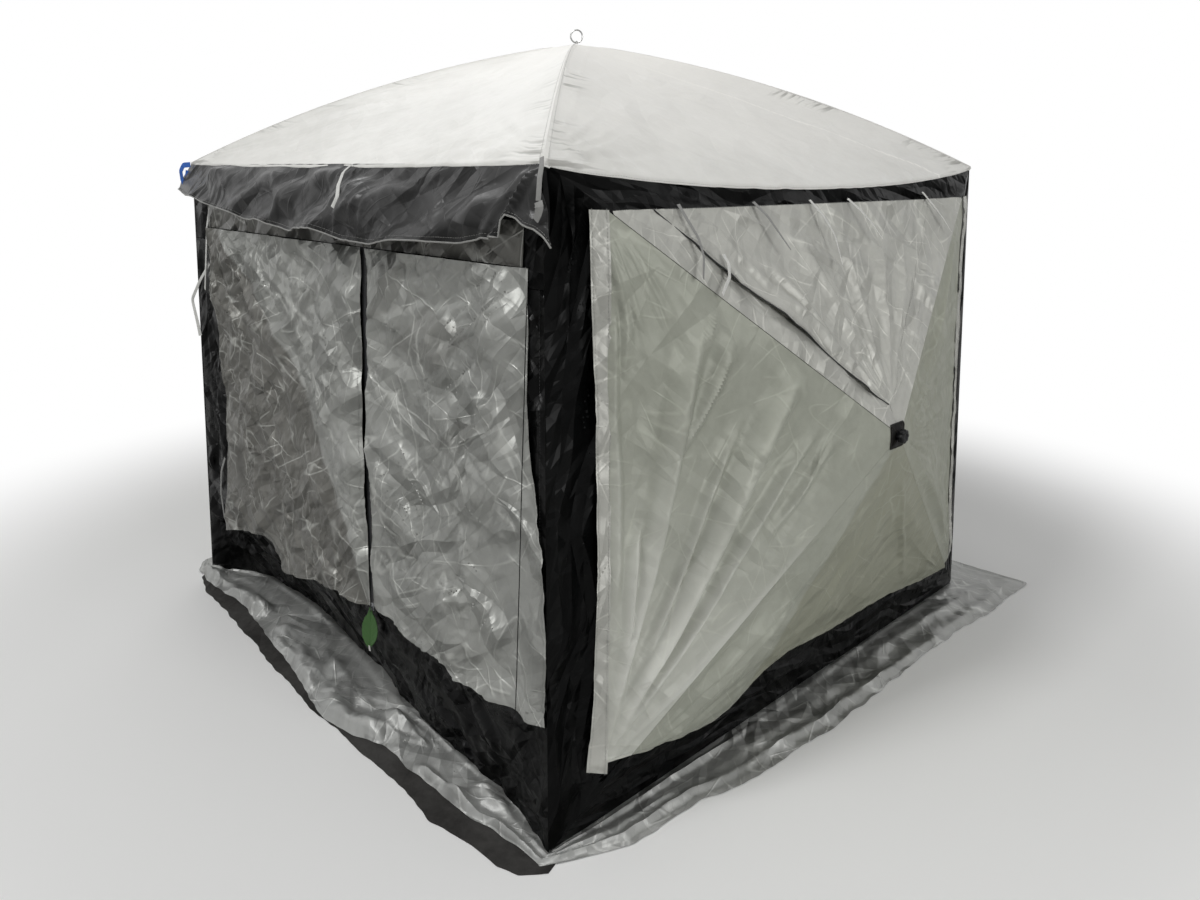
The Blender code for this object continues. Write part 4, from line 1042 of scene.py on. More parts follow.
def roofGore(side):
    spin, step = roof["spins"][side], roof["step"][side]
    half, seed = tent["halfEave"], 3000 + spin
    shares = np.linspace(0, 1 - roof["eyeHole"] / half, round(half * 1.1 / step))
    edge = 1 - roof["ridgeWidth"] / half
    extra = [-edge, edge, -edge + 0.0008, edge - 0.0008]
    u = np.sort(np.concatenate([np.linspace(-1, 1, round(2 * half / step)), extra]))
    share, u = np.meshgrid(shares, u, indexing="ij")
    r = half * (1 - share)
    x, y, z = r, u * r, roofHeight(share, u)
    drop = roof["eaveDrop"][side] * np.clip(1 - u * u, 0, 1) ** 0.75 * (1 - share) ** roof["dropPower"]
    flatX, flatY = y, np.hypot(half - x, z - tent["eaveHeight"])
    ridgeGap = (x - np.abs(y)) / math.sqrt(2)
    pucker = 0.012 * np.exp(-share / 0.10) * np.clip(noise(y * 15 + 3 * share, share * 5, seed) + 0.15, 0, 1) ** 1.2
    # the band mask: gathered cloth near the corners and along the ridges, which gets short folds and painted shade
    # between them
    corner, valley = 0 * flatX, 0 * flatX
    for number, cornerX in enumerate((-half, half)):
        corner = corner + 0.011 * fan(flatX, flatY, (cornerX, 0), 6, seed + 1 + number, 0.34, 0.09)
        valley = valley + 0.9 * smooth(np.hypot(flatX - cornerX, flatY), 0.20, 0.06)
    alongRidge = smooth(noise(share * 6, share * 0 + 2, seed + 7), -0.02, 0.16) * smooth(share, 0.62, 0.48)
    valley = np.clip(valley + 0.75 * smooth(ridgeGap, 0.085, 0.015) * alongRidge, 0, 1) * smooth(ridgeGap, 0.002, 0.010)
    light = crumpled(flatX, flatY, seed + 3, 0.16, 0.0022, 0.0010)
    lift = (np.clip(corner + light + pucker, -0.004, 0.018) * smooth(ridgeGap, 0.0, 0.07)
            * (0.25 + 0.75 * smooth(share, 0.0, 0.05)))
    seam = np.zeros(x.shape)
    # painted light: each gore lighter towards the hub, and the right gore lighter all over save near the eave
    tone = 0.60 * smooth(share, 0.30, 0.95)
    if side == "right":
        # a seam that runs up the gore, with a lighter strip beside it
        across = np.abs(u - (0.74 - 0.50 * share)) * r
        seam = 0.0011 * smooth(across, 0.007, 0.0055)
        tone = tone + 0.42 * smooth(share, 0.03, 0.28) + smooth(across, 0.0055, 0.0035)
    if side in ("right", "door"):
        seam = seam + 0.0006 * smooth(np.abs(ridgeGap - 0.0448), 0.006, 0.0045) * (ridgeGap > 0)
    ridge = roof["ridgeRise"] * smooth(ridgeGap, roof["ridgeWidth"] * 0.75, roof["ridgeWidth"] * 0.70)
    cap = smooth(r, 0.050, 0.075)
    flat = np.stack([x, y, z], -1)
    risen = z - roof["dropDown"] * drop + (lift + seam) * cap + ridge * cap
    grid = np.stack([x + roof["dropOut"] * drop, y, risen], -1)
    # the eave's own hem turns down over the header band, and its ends close on the neighbour's line
    grid, flat = (np.concatenate([points[0] + roof["lip"][:, None], points]) for points in (grid, flat))
    grid[3, :, 0] += 0.0008
    grid[:3, 0, 1], grid[:3, -1, 1] = -grid[:3, 0, 0], grid[:3, -1, 0]
    flatX, flatY = lipped(flatX), lipped(flatY)
    flatY[:3] -= roof["lipDown"][:, None]
    cloth(f"roofGore{side.capitalize()}", turnZ(grid, spin), turnZ(flat, spin), roof["thick"],
          np.stack([flatX, flatY], -1), up, "roof", eaveToHub(turnZ(np.array([1.0, 0, 0]), spin)), "roof_fabric",
          ["roof_canopy"] if side == "right" else (), restsOn=["roof_hub"], shade=np.clip(lipped(tone), 0, 1),
          band=lipped(valley))


for side in roof["spins"]:
    roofGore(side)

for name in ("front_right", "back_right", "back_left", "front_left"):
    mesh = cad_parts[f"roof_pole_{name}"].data.copy()
    mesh.name = f"roofPole{name.title().replace('_', '')}"
    mend(mesh, 0.00002)
    mesh.shade_smooth()
    mesh.set_sharp_from_angle(angle=math.radians(45))
    mesh.materials.clear()
    mesh.materials.append(looks["rod"])
    way = unit(np.array([1 if "right" in name else -1, 1 if "back" in name else -1, 0.0])) * math.sqrt(2)
    settle(addObject(mesh.name, mesh), eaveToHub(way), [f"roof_pole_{name}"])
print("stage: roof")


# The door wall, in metres across and down from the middle of its eave
doorWall = {
    "across": np.array([1.0, 0, 0]),
    "out": np.array([0.0, -leanUp, leanOut]),
    "down": np.array([0.0, -leanOut, -leanUp]),
    "hinge": 0.94,
    "meeting": 0.2540,
    "top": 1.402,
    "lapTop": 1.500,
    "bandTop": 0.420,
    "bandThick": 0.0010,
    "step": 0.0075,
    # how far the base band stands in from the skirt's line, from corner to corner
    "bow": [(-1.08, 0.0), (-1.05, 0.045), (-0.95, 0.115), (-0.85, 0.150), (-0.67, 0.160), (-0.50, 0.170),
            (-0.24, 0.155), (0.05, 0.118), (0.19, 0.092), (0.38, 0.070), (0.64, 0.055), (0.91, 0.040),
            (1.01, 0.014), (1.08, 0.0)],
}


def doorPut(x, s, h=0.0):
    x, s, h = (values[..., None] for values in np.broadcast_arrays(x, s, h))
    base = np.array([0, -tent["halfEave"], tent["eaveHeight"]])
    return base + x * doorWall["across"] + s * doorWall["down"] + h * doorWall["out"]


def downTo(level):
    return (tent["eaveHeight"] - np.asarray(level, float)) / leanUp


def levelOf(s):
    return tent["eaveHeight"] - s * leanUp


def seamAt(s):
    return tent["halfEave"] + (tent["halfBase"] - tent["halfEave"]) * s / downTo(tent["foot"])


def doorCloth(name, x, s, h, thick, look, body, slot, nodes, rest, **masks):
    cloth(name, doorPut(x, s, h), doorPut(x, s), thick, np.stack([x, s], -1), doorWall["out"], look, body, slot, nodes,
          "hung", restsOn=[rest], **masks)


def doorBand(name, left, right, top, bottom, seed, fade, step=0.010):
    bow = name == "doorBaseBand"
    s = np.linspace(top, bottom, max(4, round((bottom - top) / step)))
    share = np.linspace(0, 1, max(6, round(float(np.max(right(s) - left(s))) / step)))
    x = left(s)[:, None] + share * (right(s) - left(s))[:, None]
    s = np.broadcast_to(s[:, None], x.shape)
    # folds die out at the edges that are sewn
    gaps = {"left": (x - left(s), 0.08), "right": (right(s) - x, 0.08), "top": (s - top, 0.05),
            "bottom": (bottom - s, 0.03)}
    held = math.prod(smooth(gap, 0, reach) for side, (gap, reach) in gaps.items() if side in fade)
    if bow:
        folds = crumpled(x, s * 1.3, seed, 0.12, 0.010, 0.006) + 0.004 * noise(x * 3, s * 22, seed + 7)
    else:
        folds = crumpled(x, s * 0.3, seed, 0.06, 0.008, 0.004) + 0.012 * noise(x * 16, s * 1.3, seed + 7)
    h = -0.001 - np.clip(0.004 - folds, 0, 0.018) * held
    grid, flat = doorPut(x, s, h), doorPut(x, s)
    if bow:
        t = np.clip((s - top) / (bottom - top), 0, 1)
        inward = readOff(doorWall["bow"], x / seamAt(bottom) * 1.08) * smooth(t, 0, 1.15) / smooth(1, 0, 1.15)
        inward = inward * smooth(seamAt(s) - np.abs(x), 0, 0.05)
        grid[..., 1] += inward
        flat[..., 1] += inward
        grid[..., 2] = np.maximum(grid[..., 2], 0.0035 + 0.004 * (1 - t))
    cloth(name, grid, flat, doorWall["bandThick"], np.stack([x, s], -1), doorWall["out"], "black", "tent",
          "black_fabric", ["door_surround"] if bow else (), held="hung",
          restsOn=["roofGoreDoor" if name == "doorHeaderBand" else "doorHeaderBand"])


bandTop, foot = float(downTo(doorWall["bandTop"])), float(downTo(tent["foot"] + 0.001))
doorBand("doorHeaderBand", lambda s: -seamAt(s), seamAt, 0.004, 0.26, 4000, "left right top", 0.014)
doorBand("doorCornerLeft", lambda s: -seamAt(s), lambda s: 0 * s - 0.72, 0.262, bandTop, 4100, "left top bottom")
doorBand("doorCornerRight", lambda s: 0 * s + 0.88, seamAt, 0.262, bandTop, 4200, "right top bottom", 0.008)
doorBand("doorBaseBand", lambda s: -seamAt(s), seamAt, bandTop + 0.001, foot, 4300, "left right top", 0.0095)

# The silver cloth of the door wall: its edges, by level or by place across, and the shade painted on it
silver = {
    "left": [(0.24, -0.862), (0.472, -0.815), (0.785, -0.790), (1.0, -0.815), (1.142, -0.838), (1.30, -0.848),
             (1.444, -0.852), (1.5, -0.86)],
    "right": [(0.33, 1.058), (0.571, 1.052), (0.761, 1.030), (1.005, 0.966), (1.115, 0.950), (1.272, 0.950),
              (1.463, 0.925)],
    "bottomLeft": [(-0.90, 0.250), (-0.86, 0.262), (-0.70, 0.305), (-0.47, 0.352), (-0.42, 0.345), (-0.36, 0.275),
                   (-0.327, 0.262), (-0.22, 0.292), (-0.05, 0.328), (0.10, 0.345), (0.24, 0.352)],
    "bottomRight": [(0.25, 0.362), (0.45, 0.350), (0.60, 0.340), (0.88, 0.332), (1.06, 0.345)],
    "shadeEdge": [(0.30, 0.262), (0.395, 0.232), (0.562, 0.149), (0.780, 0.005), (0.998, -0.179), (1.221, -0.450),
                  (1.367, -0.694), (1.50, -0.90)],
    # centre across and up, half width, half height, turn, amount
    "shadePatches": [(0.59, 1.20, 0.17, 0.085, 0.2, 0.42), (0.40, 1.30, 0.13, 0.06, 0.7, 0.30),
                     (0.70, 0.98, 0.15, 0.03, 0.45, 0.30), (0.45, 0.62, 0.14, 0.05, -0.5, 0.22)],
    "thick": 0.0008,
    "stand": 0.022,
    "least": 0.0022,
    # how near it lies to the wall at the top, the zip and the hinge
    "atTop": 0.0030,
    "atZip": 0.0050,
    "atHinge": 0.0014,
}


def doorFolds(x, s):
    seed = 4500
    return (crumpled(x, s, seed, 0.17, 0.0150, 0.0070) + 0.004 * creases(x, s, seed + 60, 0.055, 4.5)
            + 0.010 * fan(x, s, (-0.80, 0.10), 6, seed + 70, 1.1) + 0.008 * fan(x, s, (1.04, 0.15), 6, seed + 80, 0.9)
            + 0.010 * noise(x * 3.1, s * 1.6, seed + 90))


# painted shade on the door's silver: dark beyond a slanting edge on the left panel, and soft dark patches elsewhere
def doorShade(x, z):
    edge = readOff(silver["shadeEdge"], z)
    dark = smooth(edge - x, -0.006, 0.010) * (x < 0.27)
    for cx, cz, wide, tall, turn, amount in silver["shadePatches"]:
        a, b = x - cx, z - cz
        p = (a * math.cos(turn) + b * math.sin(turn)) / wide
        q = (-a * math.sin(turn) + b * math.cos(turn)) / tall
        dark = np.maximum(dark, amount * smooth(np.abs(p) + np.abs(q), 1.04, 0.96))
    return dark


def edgeLeft(s):
    return readOff(silver["left"], levelOf(s))


def edgeRight(s):
    return readOff(silver["right"], levelOf(s))


def zipLeft(s):
    z = levelOf(s)
    return doorWall["meeting"] - 0.0165 + 0.005 * noise(z * 7, z * 0, 91) + 0.006 * smooth(z, 0.9, 0.35)


def zipRight(s):
    z = levelOf(s)
    return doorWall["meeting"] + 0.0175 + 0.005 * noise(z * 6, z * 0 + 4, 92) - 0.005 * smooth(z, 0.9, 0.35)


def bottomLine(x):
    z = np.where(x > 0.25, readOff(silver["bottomRight"], x), readOff(silver["bottomLeft"], x))
    return downTo(z + 0.004 * noise(x * 13, x * 0, 93))


def pressed(h, rest, share):
    # brought towards a height of rest, so that a share of what stands over it is left
    return rest + (h - rest) * share


def fixed(value):
    return lambda along: 0 * along + value


def doorSilver(name, left, right, top, bottom, hems, body, nodes=()):
    step = doorWall["step"]
    tops = float(np.min(top(np.linspace(-1, 1.06, 40))))
    lowest = float(np.max(bottom(np.linspace(-0.85, 0.92, 40))))
    t = np.linspace(0, 1, max(5, round((min(float(downTo(0.30)), lowest) - tops) / step)))
    wide = float(np.max(right(t * 0 + tops) - left(t * 0 + tops)))
    t = np.concatenate([t[:-2], 1 - hemSteps[::-1]])
    # columns first, on a guess of the length, then the rows between top and bottom
    guess = tops + t * (1.30 - tops)
    x = hemmedColumns(left(guess), right(guess), 0.06, np.linspace(0, 1, max(6, round(max(wide, 0.05) / step))))
    s = top(x) + t[:, None] * (bottom(x) - top(x))
    z = levelOf(s)
    h = silver["stand"] + doorFolds(x, s) + hemMask(x, hems) * 0.0006
    h = np.maximum(h + 0.012 * smooth(z, 0.62, 0.30) * noise(x * 5, s * 0 + 2, 77), silver["least"])
    # the cloth comes back to the wall at the top, the zip, the sides and the hinge
    upper = (0.15 + 0.85 * smooth(s, 0.14, 0.24)) * (1 - 0.6 * smooth(x, 0.90, 1.02) * smooth(z, 1.25, 1.4))
    h = pressed(h, silver["atTop"], upper)
    h = pressed(h, silver["atZip"], 0.18 + 0.82 * smooth(np.abs(x - doorWall["meeting"]), 0.006, 0.05))
    h = pressed(h, 0, 0.45 + 0.55 * smooth(np.minimum(x - edgeLeft(s), edgeRight(s) - x), 0.0, 0.06))
    if name == "doorLapTop":
        h = silver["least"] + 0.16 * h
    h = pressed(h, silver["atHinge"], 0.04 + 0.96 * smooth(np.abs(x - doorWall["hinge"]), 0.004, 0.09))
    # painted shadow of the awning over all of the top lap
    doorCloth(name, x, s, h, silver["thick"], "silver", body, "silver_fabric", nodes, "doorHeaderBand",
              shade=np.maximum(doorShade(x, z), 0.95 if name == "doorLapTop" else 0.0))


hinge = doorWall["hinge"]
doorTop, lapTop, lapBottom = (fixed(downTo(z)) for z in (doorWall["top"], doorWall["lapTop"], doorWall["top"] + 0.0012))
doorSilver("doorPanelLeft", edgeLeft, zipLeft, doorTop, bottomLine, ("left", "right", "bottom"), "door_panel_left",
           ["door_panel_left"])
doorSilver("doorPanelRight", zipRight, fixed(hinge), doorTop, bottomLine, ("left", "bottom"), "door_panel_right",
           ["door_panel_right"])
doorSilver("doorLapRight", fixed(hinge + 0.0036), edgeRight, doorTop, bottomLine, ("right", "bottom"), "tent")
doorSilver("doorLapTop", fixed(-0.851), fixed(0.924), lapTop, lapBottom, ("left", "right"), "tent")

# The zip's tape, one half on each door panel
meet = doorWall["meeting"]
tape = {"edge": 0.0006, "wide": 0.026, "thick": 0.0006, "top": doorWall["top"], "foot": 0.352, "teethAt": 0.0030}
for side, sign in (("Left", -1), ("Right", 1)):
    edges = sorted((meet + sign * tape["edge"], meet + sign * tape["wide"]))
    x, s = np.meshgrid(np.linspace(*edges, 10), np.linspace(downTo(tape["top"]), downTo(tape["foot"]), 240))
    h = 0.0018 + 0.0006 * noise(x * 9, s * 8, 95) * smooth(np.abs(x - meet), 0.002, 0.010)
    doorCloth(f"zipTape{side}", x, s, h, tape["thick"], "zipTape", f"door_panel_{side.lower()}", "black_fabric", (),
              f"doorPanel{side}")
print("stage: door wall")


# The awning over the door, with a piped hem
awning = {
    "top": (-0.9825, 1.6145),
    "tilt": 28.0,
    "columns": 250,
    # how far down the hem hangs, from corner to corner
    "hem": [(-1.063, 0.090), (-1.02, 0.104), (-0.90, 0.118), (-0.70, 0.142), (-0.42, 0.171), (-0.05, 0.195),
            (0.384, 0.208), (0.54, 0.203), (0.66, 0.190), (0.79, 0.180), (0.83, 0.169), (0.895, 0.168), (0.910, 0.162),
            (0.916, 0.124), (0.926, 0.115), (0.945, 0.117), (0.975, 0.132), (1.008, 0.143), (1.040, 0.163),
            (1.060, 0.183)],
    "thick": 0.0010,
    "piping": 0.0021,
    "foldX": 0.985,
    "foldLean": 0.56,
    "tie": [(0.206, 0.004, 0.008), (0.214, 0.035, 0.026), (0.240, 0.080, 0.038), (0.262, 0.110, 0.040),
            (0.250, 0.140, 0.036)],
    "tieWidth": 0.0120,
}
tilt = math.radians(awning["tilt"])
awningOut = np.array([0, -math.cos(tilt), math.sin(tilt)])
awningDown = np.array([0, -math.sin(tilt), -math.cos(tilt)])


def awningPut(x, s, h=0.0):
    x, s, h = (values[..., None] for values in np.broadcast_arrays(x, s, h))
    return np.array([0, *awning["top"]]) + x * doorWall["across"] + s * awningDown + h * awningOut


def makeAwning():
    hem = np.array(awning["hem"])
    xEnd = np.linspace(hem[0, 0], hem[-1, 0], awning["columns"])
    drop = np.interp(xEnd, *hem.T)
    # the hem is rounded off, save at the notch near the corner
    drop = np.where(xEnd < 0.88, np.convolve(np.pad(drop, 4, mode="edge"), np.ones(9) / 9, "valid"), drop)
    drop = drop + 0.004 * noise(xEnd * 9, xEnd * 0, 501)
    share = np.sort(np.concatenate([np.linspace(0, 1, 26), [0.955, 0.952]]))[:, None]
    head = np.clip(xEnd, -0.979, 0.979)
    x, s = head + (xEnd - head) * share, drop * share
    diagonal = x + s * 2.1
    behind = x - awning["foldX"] + awning["foldLean"] * s
    tuck = 0.013 * smooth(np.abs(behind), 0.014, 0.002) + 0.006 * smooth(np.abs(behind + 0.035), 0.020, 0.0)
    folds = (0.034 * np.clip(noise(diagonal * 4.2, s * 2, 502), -0.5, 1) + 0.018 * noise(x * 3.6 - s * 8, s * 4, 503)
             + crumpled(x, s, 504, 0.17, 0.0100, 0.0035)) * (1 - 0.6 * smooth(x, 0.80, 0.95)) + tuck
    belly = 0.010 * np.sin(np.pi * share) * (1 - (x / 1.05) ** 2)
    h = np.maximum(belly + folds * smooth(share, 0.0, 0.25), 0.0015 - 0.085 * s) + 0.0010 * (share > 0.953)
    grid = awningPut(x, s, h)
    grid[..., 1] += 0.010 * smooth(share, 0.55, 1.0) * smooth(-x, 0.90, 1.06)
    grid[..., 1] += s * (0.075 * smooth(x, 0.70, 0.95) + 0.16 * smooth(x, 0.97, 1.06))
    # painted shade on one flank of each broad diagonal fold; the mask also darkens the cloth beyond the tucked fold at
    # the corner and in a band above the hem
    shade = (0.9 * smooth(behind, 0.004, 0.016) + 0.55 * smooth(drop - s, 0.036, 0.026)
             + 0.45 * smooth(noise(diagonal * 4.2 + 0.5, s * 2, 502), 0.05, -0.25))
    cloth("doorAwning", grid, awningPut(x, s), awning["thick"], np.stack([x, s], -1), awningOut, "grey", "door_awning",
          "grey_fabric", ["door_awning"], held="hung", restsOn=["doorHeaderBand"], shade=np.clip(shade, 0, 1))
    line = grid[-1] + unit(np.array([0, -0.5, -0.87])) * 0.0012
    settle(tube("awningPiping", line, awning["piping"], "piping"), "door_awning")


makeAwning()
print("stage: awning")


# The ground skirt, and at the door a dark sheet beneath its edge: painted shadow on the floor
skirt = {
    "around": 0.0105,
    "across": 30,
    "thick": 0.0009,
    "outer": [(1.100, -1.128), (1.168, -0.990), (1.200, -0.910), (1.214, -0.663), (1.251, -0.538), (1.285, -0.144),
              (1.272, 0.512), (1.295, 0.943), (1.302, 1.305), (1.05, 1.290), (0.60, 1.268), (0.10, 1.286),
              (-0.50, 1.262), (-0.95, 1.285), (-1.270, 1.295), (-1.262, 0.90), (-1.240, 0.35), (-1.266, -0.30),
              (-1.235, -0.80),
              (-1.205, -1.075), (-1.120, -1.120), (-1.000, -1.128), (-0.85, -1.118), (-0.682, -1.110), (-0.507, -1.128),
              (-0.30, -1.150), (-0.082, -1.178), (0.189, -1.226), (0.293, -1.205), (0.439, -1.160), (0.60, -1.158),
              (0.805, -1.150), (0.95, -1.128), (1.040, -1.118)],
    # rolls of cloth that run round the tent: how far out, how broad, how high
    "rolls": [(0.15, 0.09, 0.014), (0.47, 0.16, 0.012), (0.80, 0.12, 0.017)],
}
# a dark sheet on the floor at the door, laid there as painted shadow
shadowSheet = {
    "edge": [(-1.115, -1.075), (-1.055, -1.135), (-0.925, -1.165), (-0.635, -1.178), (-0.249, -1.205), (0.116, -1.226),
             (0.293, -1.222), (0.575, -1.214), (0.792, -1.222), (0.929, -1.205), (1.026, -1.196), (1.085, -1.172),
             (1.128, -1.120)],
    "columns": 230,
    "inner": -1.072,
    "level": 0.0010,
    "thick": 0.0008,
}


def between(inner, outer, share):
    # x and y at each share of the way from one line of points to another
    points = inner[None] + (outer - inner)[None] * share[:, None, None]
    return points[..., 0], points[..., 1]


def makeSkirt():
    line = np.array(skirt["outer"] + skirt["outer"][:1])
    count = round(lengthsAlong(line)[-1] / skirt["around"])
    run = np.linspace(0, lengthsAlong(line)[-1], count, endpoint=False)
    outer = along(line, count + 1)[:-1]
    for again in range(3):
        outer = (np.roll(outer, 1, 0) + outer * 2 + np.roll(outer, -1, 0)) / 4
    base = tent["halfBase"] - 0.004
    x, y = np.clip(outer[:, 0], -base, base), np.clip(outer[:, 1], -base, base)
    # at the door it starts from the bowed foot of the base band
    y = np.where(outer[:, 1] < -base, -base + readOff(doorWall["bow"], x) + 0.020, y)
    inner = np.stack([x, y], 1)
    ragged = 0.010 * noise(run * 5, run * 0, 601) + 0.006 * noise(run * 17, run * 0, 602)
    outer = outer + unit(outer - inner) * ragged[:, None]
    share = np.sort(np.concatenate([np.linspace(0, 1, skirt["across"]), [0.958, 0.962]]))
    x, y = between(inner, outer, share)
    t = np.broadcast_to(share[:, None], x.shape)
    front = smooth(-y, 1.02, 1.07) * smooth(np.abs(x), 1.12, 1.04)
    rolls = np.zeros(t.shape)
    for k, (centre, spread, rise) in enumerate(skirt["rolls"]):
        d = (t - centre - 0.10 * noise(run * 0.9 + 9 * k, run * 0, 604 + k)) / spread
        there = 0.35 + 0.65 * smooth(noise(run * 1.3, run * 0 + k, 620 + k), -0.25, 0.2)
        rolls = rolls + rise * there * np.clip(1 - np.abs(d) * np.where(d > 0, 1, 0.6), 0, 1) ** 1.3
    heap = 0.034 * front * np.clip(noise(x * 7, y * 9, 605) + 0.25, 0, 1)
    folds = (crumpled(x, y, 606, 0.17, 0.0050, 0.0022) * (0.7 + 1.8 * front)
             + crumpled(x, y, 656, 0.08, 0.0070, 0.0040) * front)
    z = 0.0020 + np.clip(rolls + heap + folds + 0.003, 0, 0.060) * smooth(t, 0.0, 0.22) * smooth(1 - t, 0.0, 0.10)
    z = z + 0.0035 * smooth(t, 0.02, 0.06) * (1 - smooth(t, 0.06, 0.14)) + 0.0012 * (t > 0.96)
    shade = (0.75 * smooth(x, -0.55, -0.85) * smooth(noise(x * 5, y * 5, 607), -0.2, 0.2) * front
             + 0.25 * smooth(x, 0.9, 1.2) * smooth(y, -1.15, -0.9) * (1 - front))
    piece = clothMesh("groundSkirt", np.stack([x, y, z], -1), skirt["thick"], np.stack([x, y], -1), up, "skirt",
                      shade=shade, closed=True)
    settle(piece, "tent", ["ground_skirt"])
    declare(closedRows(np.stack([x, y, 0 * z], -1)))


def makeShadowSheet():
    count = shadowSheet["columns"]
    run = np.linspace(0, 2.3, count)
    outer = along(shadowSheet["edge"], count)
    outer[:, 1] += 0.008 * noise(run * 6, run * 0, 611) + 0.005 * noise(run * 19, run * 0, 612)
    inner = np.stack([outer[:, 0] * 0.985, np.full(count, shadowSheet["inner"])], 1)
    x, y = between(inner, outer, np.linspace(0, 1, 18))
    grid = np.stack([x, y, np.full(x.shape, shadowSheet["level"])], -1)
    cloth("doorApron", grid, grid, shadowSheet["thick"], np.stack([x, y], -1), up, "floorShadow", "tent", "skirt_fabric",
          held="laid", restsOn=["groundSkirt"])


makeSkirt()
makeShadowSheet()
print("stage: skirt")


# Ribbons: ties, straps and loops
section = {
    "share": np.array([-0.5, -0.42, -0.2, 0.2, 0.42, 0.5]),
    "rise": np.array([-0.25, 0.0, 0.12, 0.12, 0.0, -0.25]),
}


def ribbon(name, line, width, thick, facing, look, body, slot, rest, count=40, twist=0.0):
    line = along(line, count)
    for again in range(3):
        line[1:-1] = (line[:-2] + line[1:-1] * 2 + line[2:]) / 4
    way = unit(np.gradient(line, axis=0))
    side = unit(np.cross(way, np.broadcast_to(np.asarray(facing, float), line.shape)))
    face = np.cross(side, way)
    turn = np.linspace(0, twist, count)[:, None]
    side = side * np.cos(turn) + face * np.sin(turn)
    face = unit(np.cross(side, way))
    share = section["share"][None, :, None] * width
    grid = line[:, None] + side[:, None] * share + face[:, None] * (section["rise"] * thick)[None, :, None]
    run = lengthsAlong(line)
    uv = np.stack(np.broadcast_arrays(section["share"] * width, run[:, None]), -1)
    settle(clothMesh(name, grid, thick, uv, face[:, None] * np.ones((1, 6, 1)), look), body)
    # a hair over the middle line's length, as the cloth's own sides are
    round(width * 1.002, 5)


tie = {"width": 0.0115, "thick": 0.0011, "roots": (0.106, 0.140)}
# each as places along the seam, down from it and out of the wall
windowTies = {
    "A": ("strap", [(0.363, 0.104, 0.006), (0.366, 0.150, 0.017), (0.372, 0.195, 0.026), (0.366, 0.240, 0.030),
                    (0.340, 0.292, 0.030)]),
    "B": ("white", [(0.452, 0.236, 0.018), (0.452, 0.262, 0.025), (0.436, 0.295, 0.028), (0.398, 0.333, 0.022)]),
    "C": ("strap", [(0.648, 0.104, 0.006), (0.655, 0.150, 0.028), (0.674, 0.200, 0.034), (0.697, 0.247, 0.036)]),
    "D": ("white", [(0.900, 0.104, 0.006), (0.906, 0.160, 0.028), (0.918, 0.220, 0.036), (0.906, 0.303, 0.038)]),
    "E": ("white", [(1.092, 0.104, 0.006), (1.104, 0.150, 0.028), (1.128, 0.195, 0.036), (1.156, 0.240, 0.036)]),
    "F": ("white", [(1.548, 0.090, 0.005), (1.560, 0.140, 0.020), (1.582, 0.190, 0.028), (1.606, 0.236, 0.028)]),
}
facet = walls["right"]["facets"]["top"]
for letter, (look, points) in windowTies.items():
    # sewn at the header seam, the tie lies on the flap
    root = (Vector(facet.put(points[0][0], y) + middle) for y in tie["roots"])
    ribbon(f"windowTie{letter}", facet.put(*np.array(points).T), tie["width"], tie["thick"], facet.out, look,
           ("right_wall_panel_top", "right_wall_window_flap", *root), "silver_fabric", "rightWindowFlap", twist=0.5)

# each as places across, up from the floor and out of the wall
doorTies = {
    "Top": ("white", "tent", "doorLapTop", 0.0,
            [(-0.820, 1.470, 0.010), (-0.830, 1.40, 0.020), (-0.850, 1.30, 0.022), (-0.893, 1.180, 0.018)]),
    "Middle": ("white", "tent", "doorCornerLeft", 0.9,
               [(-0.850, 1.275, 0.012), (-0.905, 1.210, 0.030), (-0.985, 1.135, 0.034), (-0.960, 1.060, 0.030),
                (-0.944, 1.005, 0.028)]),
    "Low": ("strap", "door_panel_left", "doorPanelLeft", 0.0,
            [(-0.812, 0.560, 0.018), (-0.838, 0.500, 0.026), (-0.856, 0.410, 0.026), (-0.842, 0.318, 0.024)]),
}
for place, (look, body, rest, twist, points) in doorTies.items():
    x, z, h = np.array(points).T
    ribbon(f"doorTie{place}", doorPut(x, downTo(z), h), tie["width"], tie["thick"], doorWall["out"], look, body,
           "silver_fabric", rest, twist=twist)

ribbon("awningTie", awningPut(*np.array(awning["tie"]).T), awning["tieWidth"], tie["thick"], awningOut, "white",
       "door_awning", "silver_fabric", "doorAwning", twist=0.4)

# the loop of blue tape at the far front corner, and the strap with its end at the near one
cornerTapes = {
    "Loop": {
        "line": np.array([-0.985, -0.988, 1.612]) + [
            (0.012, -0.002, 0.002), (-0.012, -0.018, 0.000), (-0.030, -0.024, -0.020), (-0.034, -0.022, -0.050),
            (-0.026, -0.018, -0.070), (-0.014, -0.014, -0.052), (-0.008, -0.008, -0.018)],
        "size": (0.018, 0.0012), "facing": (0.3, -1.0, 0.1), "look": "blue", "rest": "roofGoreDoor", "count": 60,
        "twist": 0.0,
    },
    "Strap": {
        "line": [(0.988, -0.990, 1.628), (1.004, -1.004, 1.612), (1.012, -1.016, 1.590), (1.016, -1.022, 1.566),
                 (1.018, -1.026, 1.544)],
        "size": (0.0102, 0.0013), "facing": (0.5, -0.85, 0.1), "look": "strap", "rest": "roofGoreDoor", "count": 50,
        "twist": 0.5,
    },
    "StrapEnd": {
        "line": [(1.0185, -1.0265, 1.5425), (1.026, -1.030, 1.532), (1.022, -1.031, 1.519), (1.013, -1.031, 1.506)],
        "size": (0.0180, 0.0022), "facing": (0.5, -0.85, 0.1), "look": "strap", "rest": "cornerStrap", "count": 30,
        "twist": -0.4,
    },
}
for name, one in cornerTapes.items():
    ribbon(f"corner{name}", one["line"], *one["size"], one["facing"], one["look"], "tent", "black_fabric", one["rest"],
           one["count"], one["twist"])


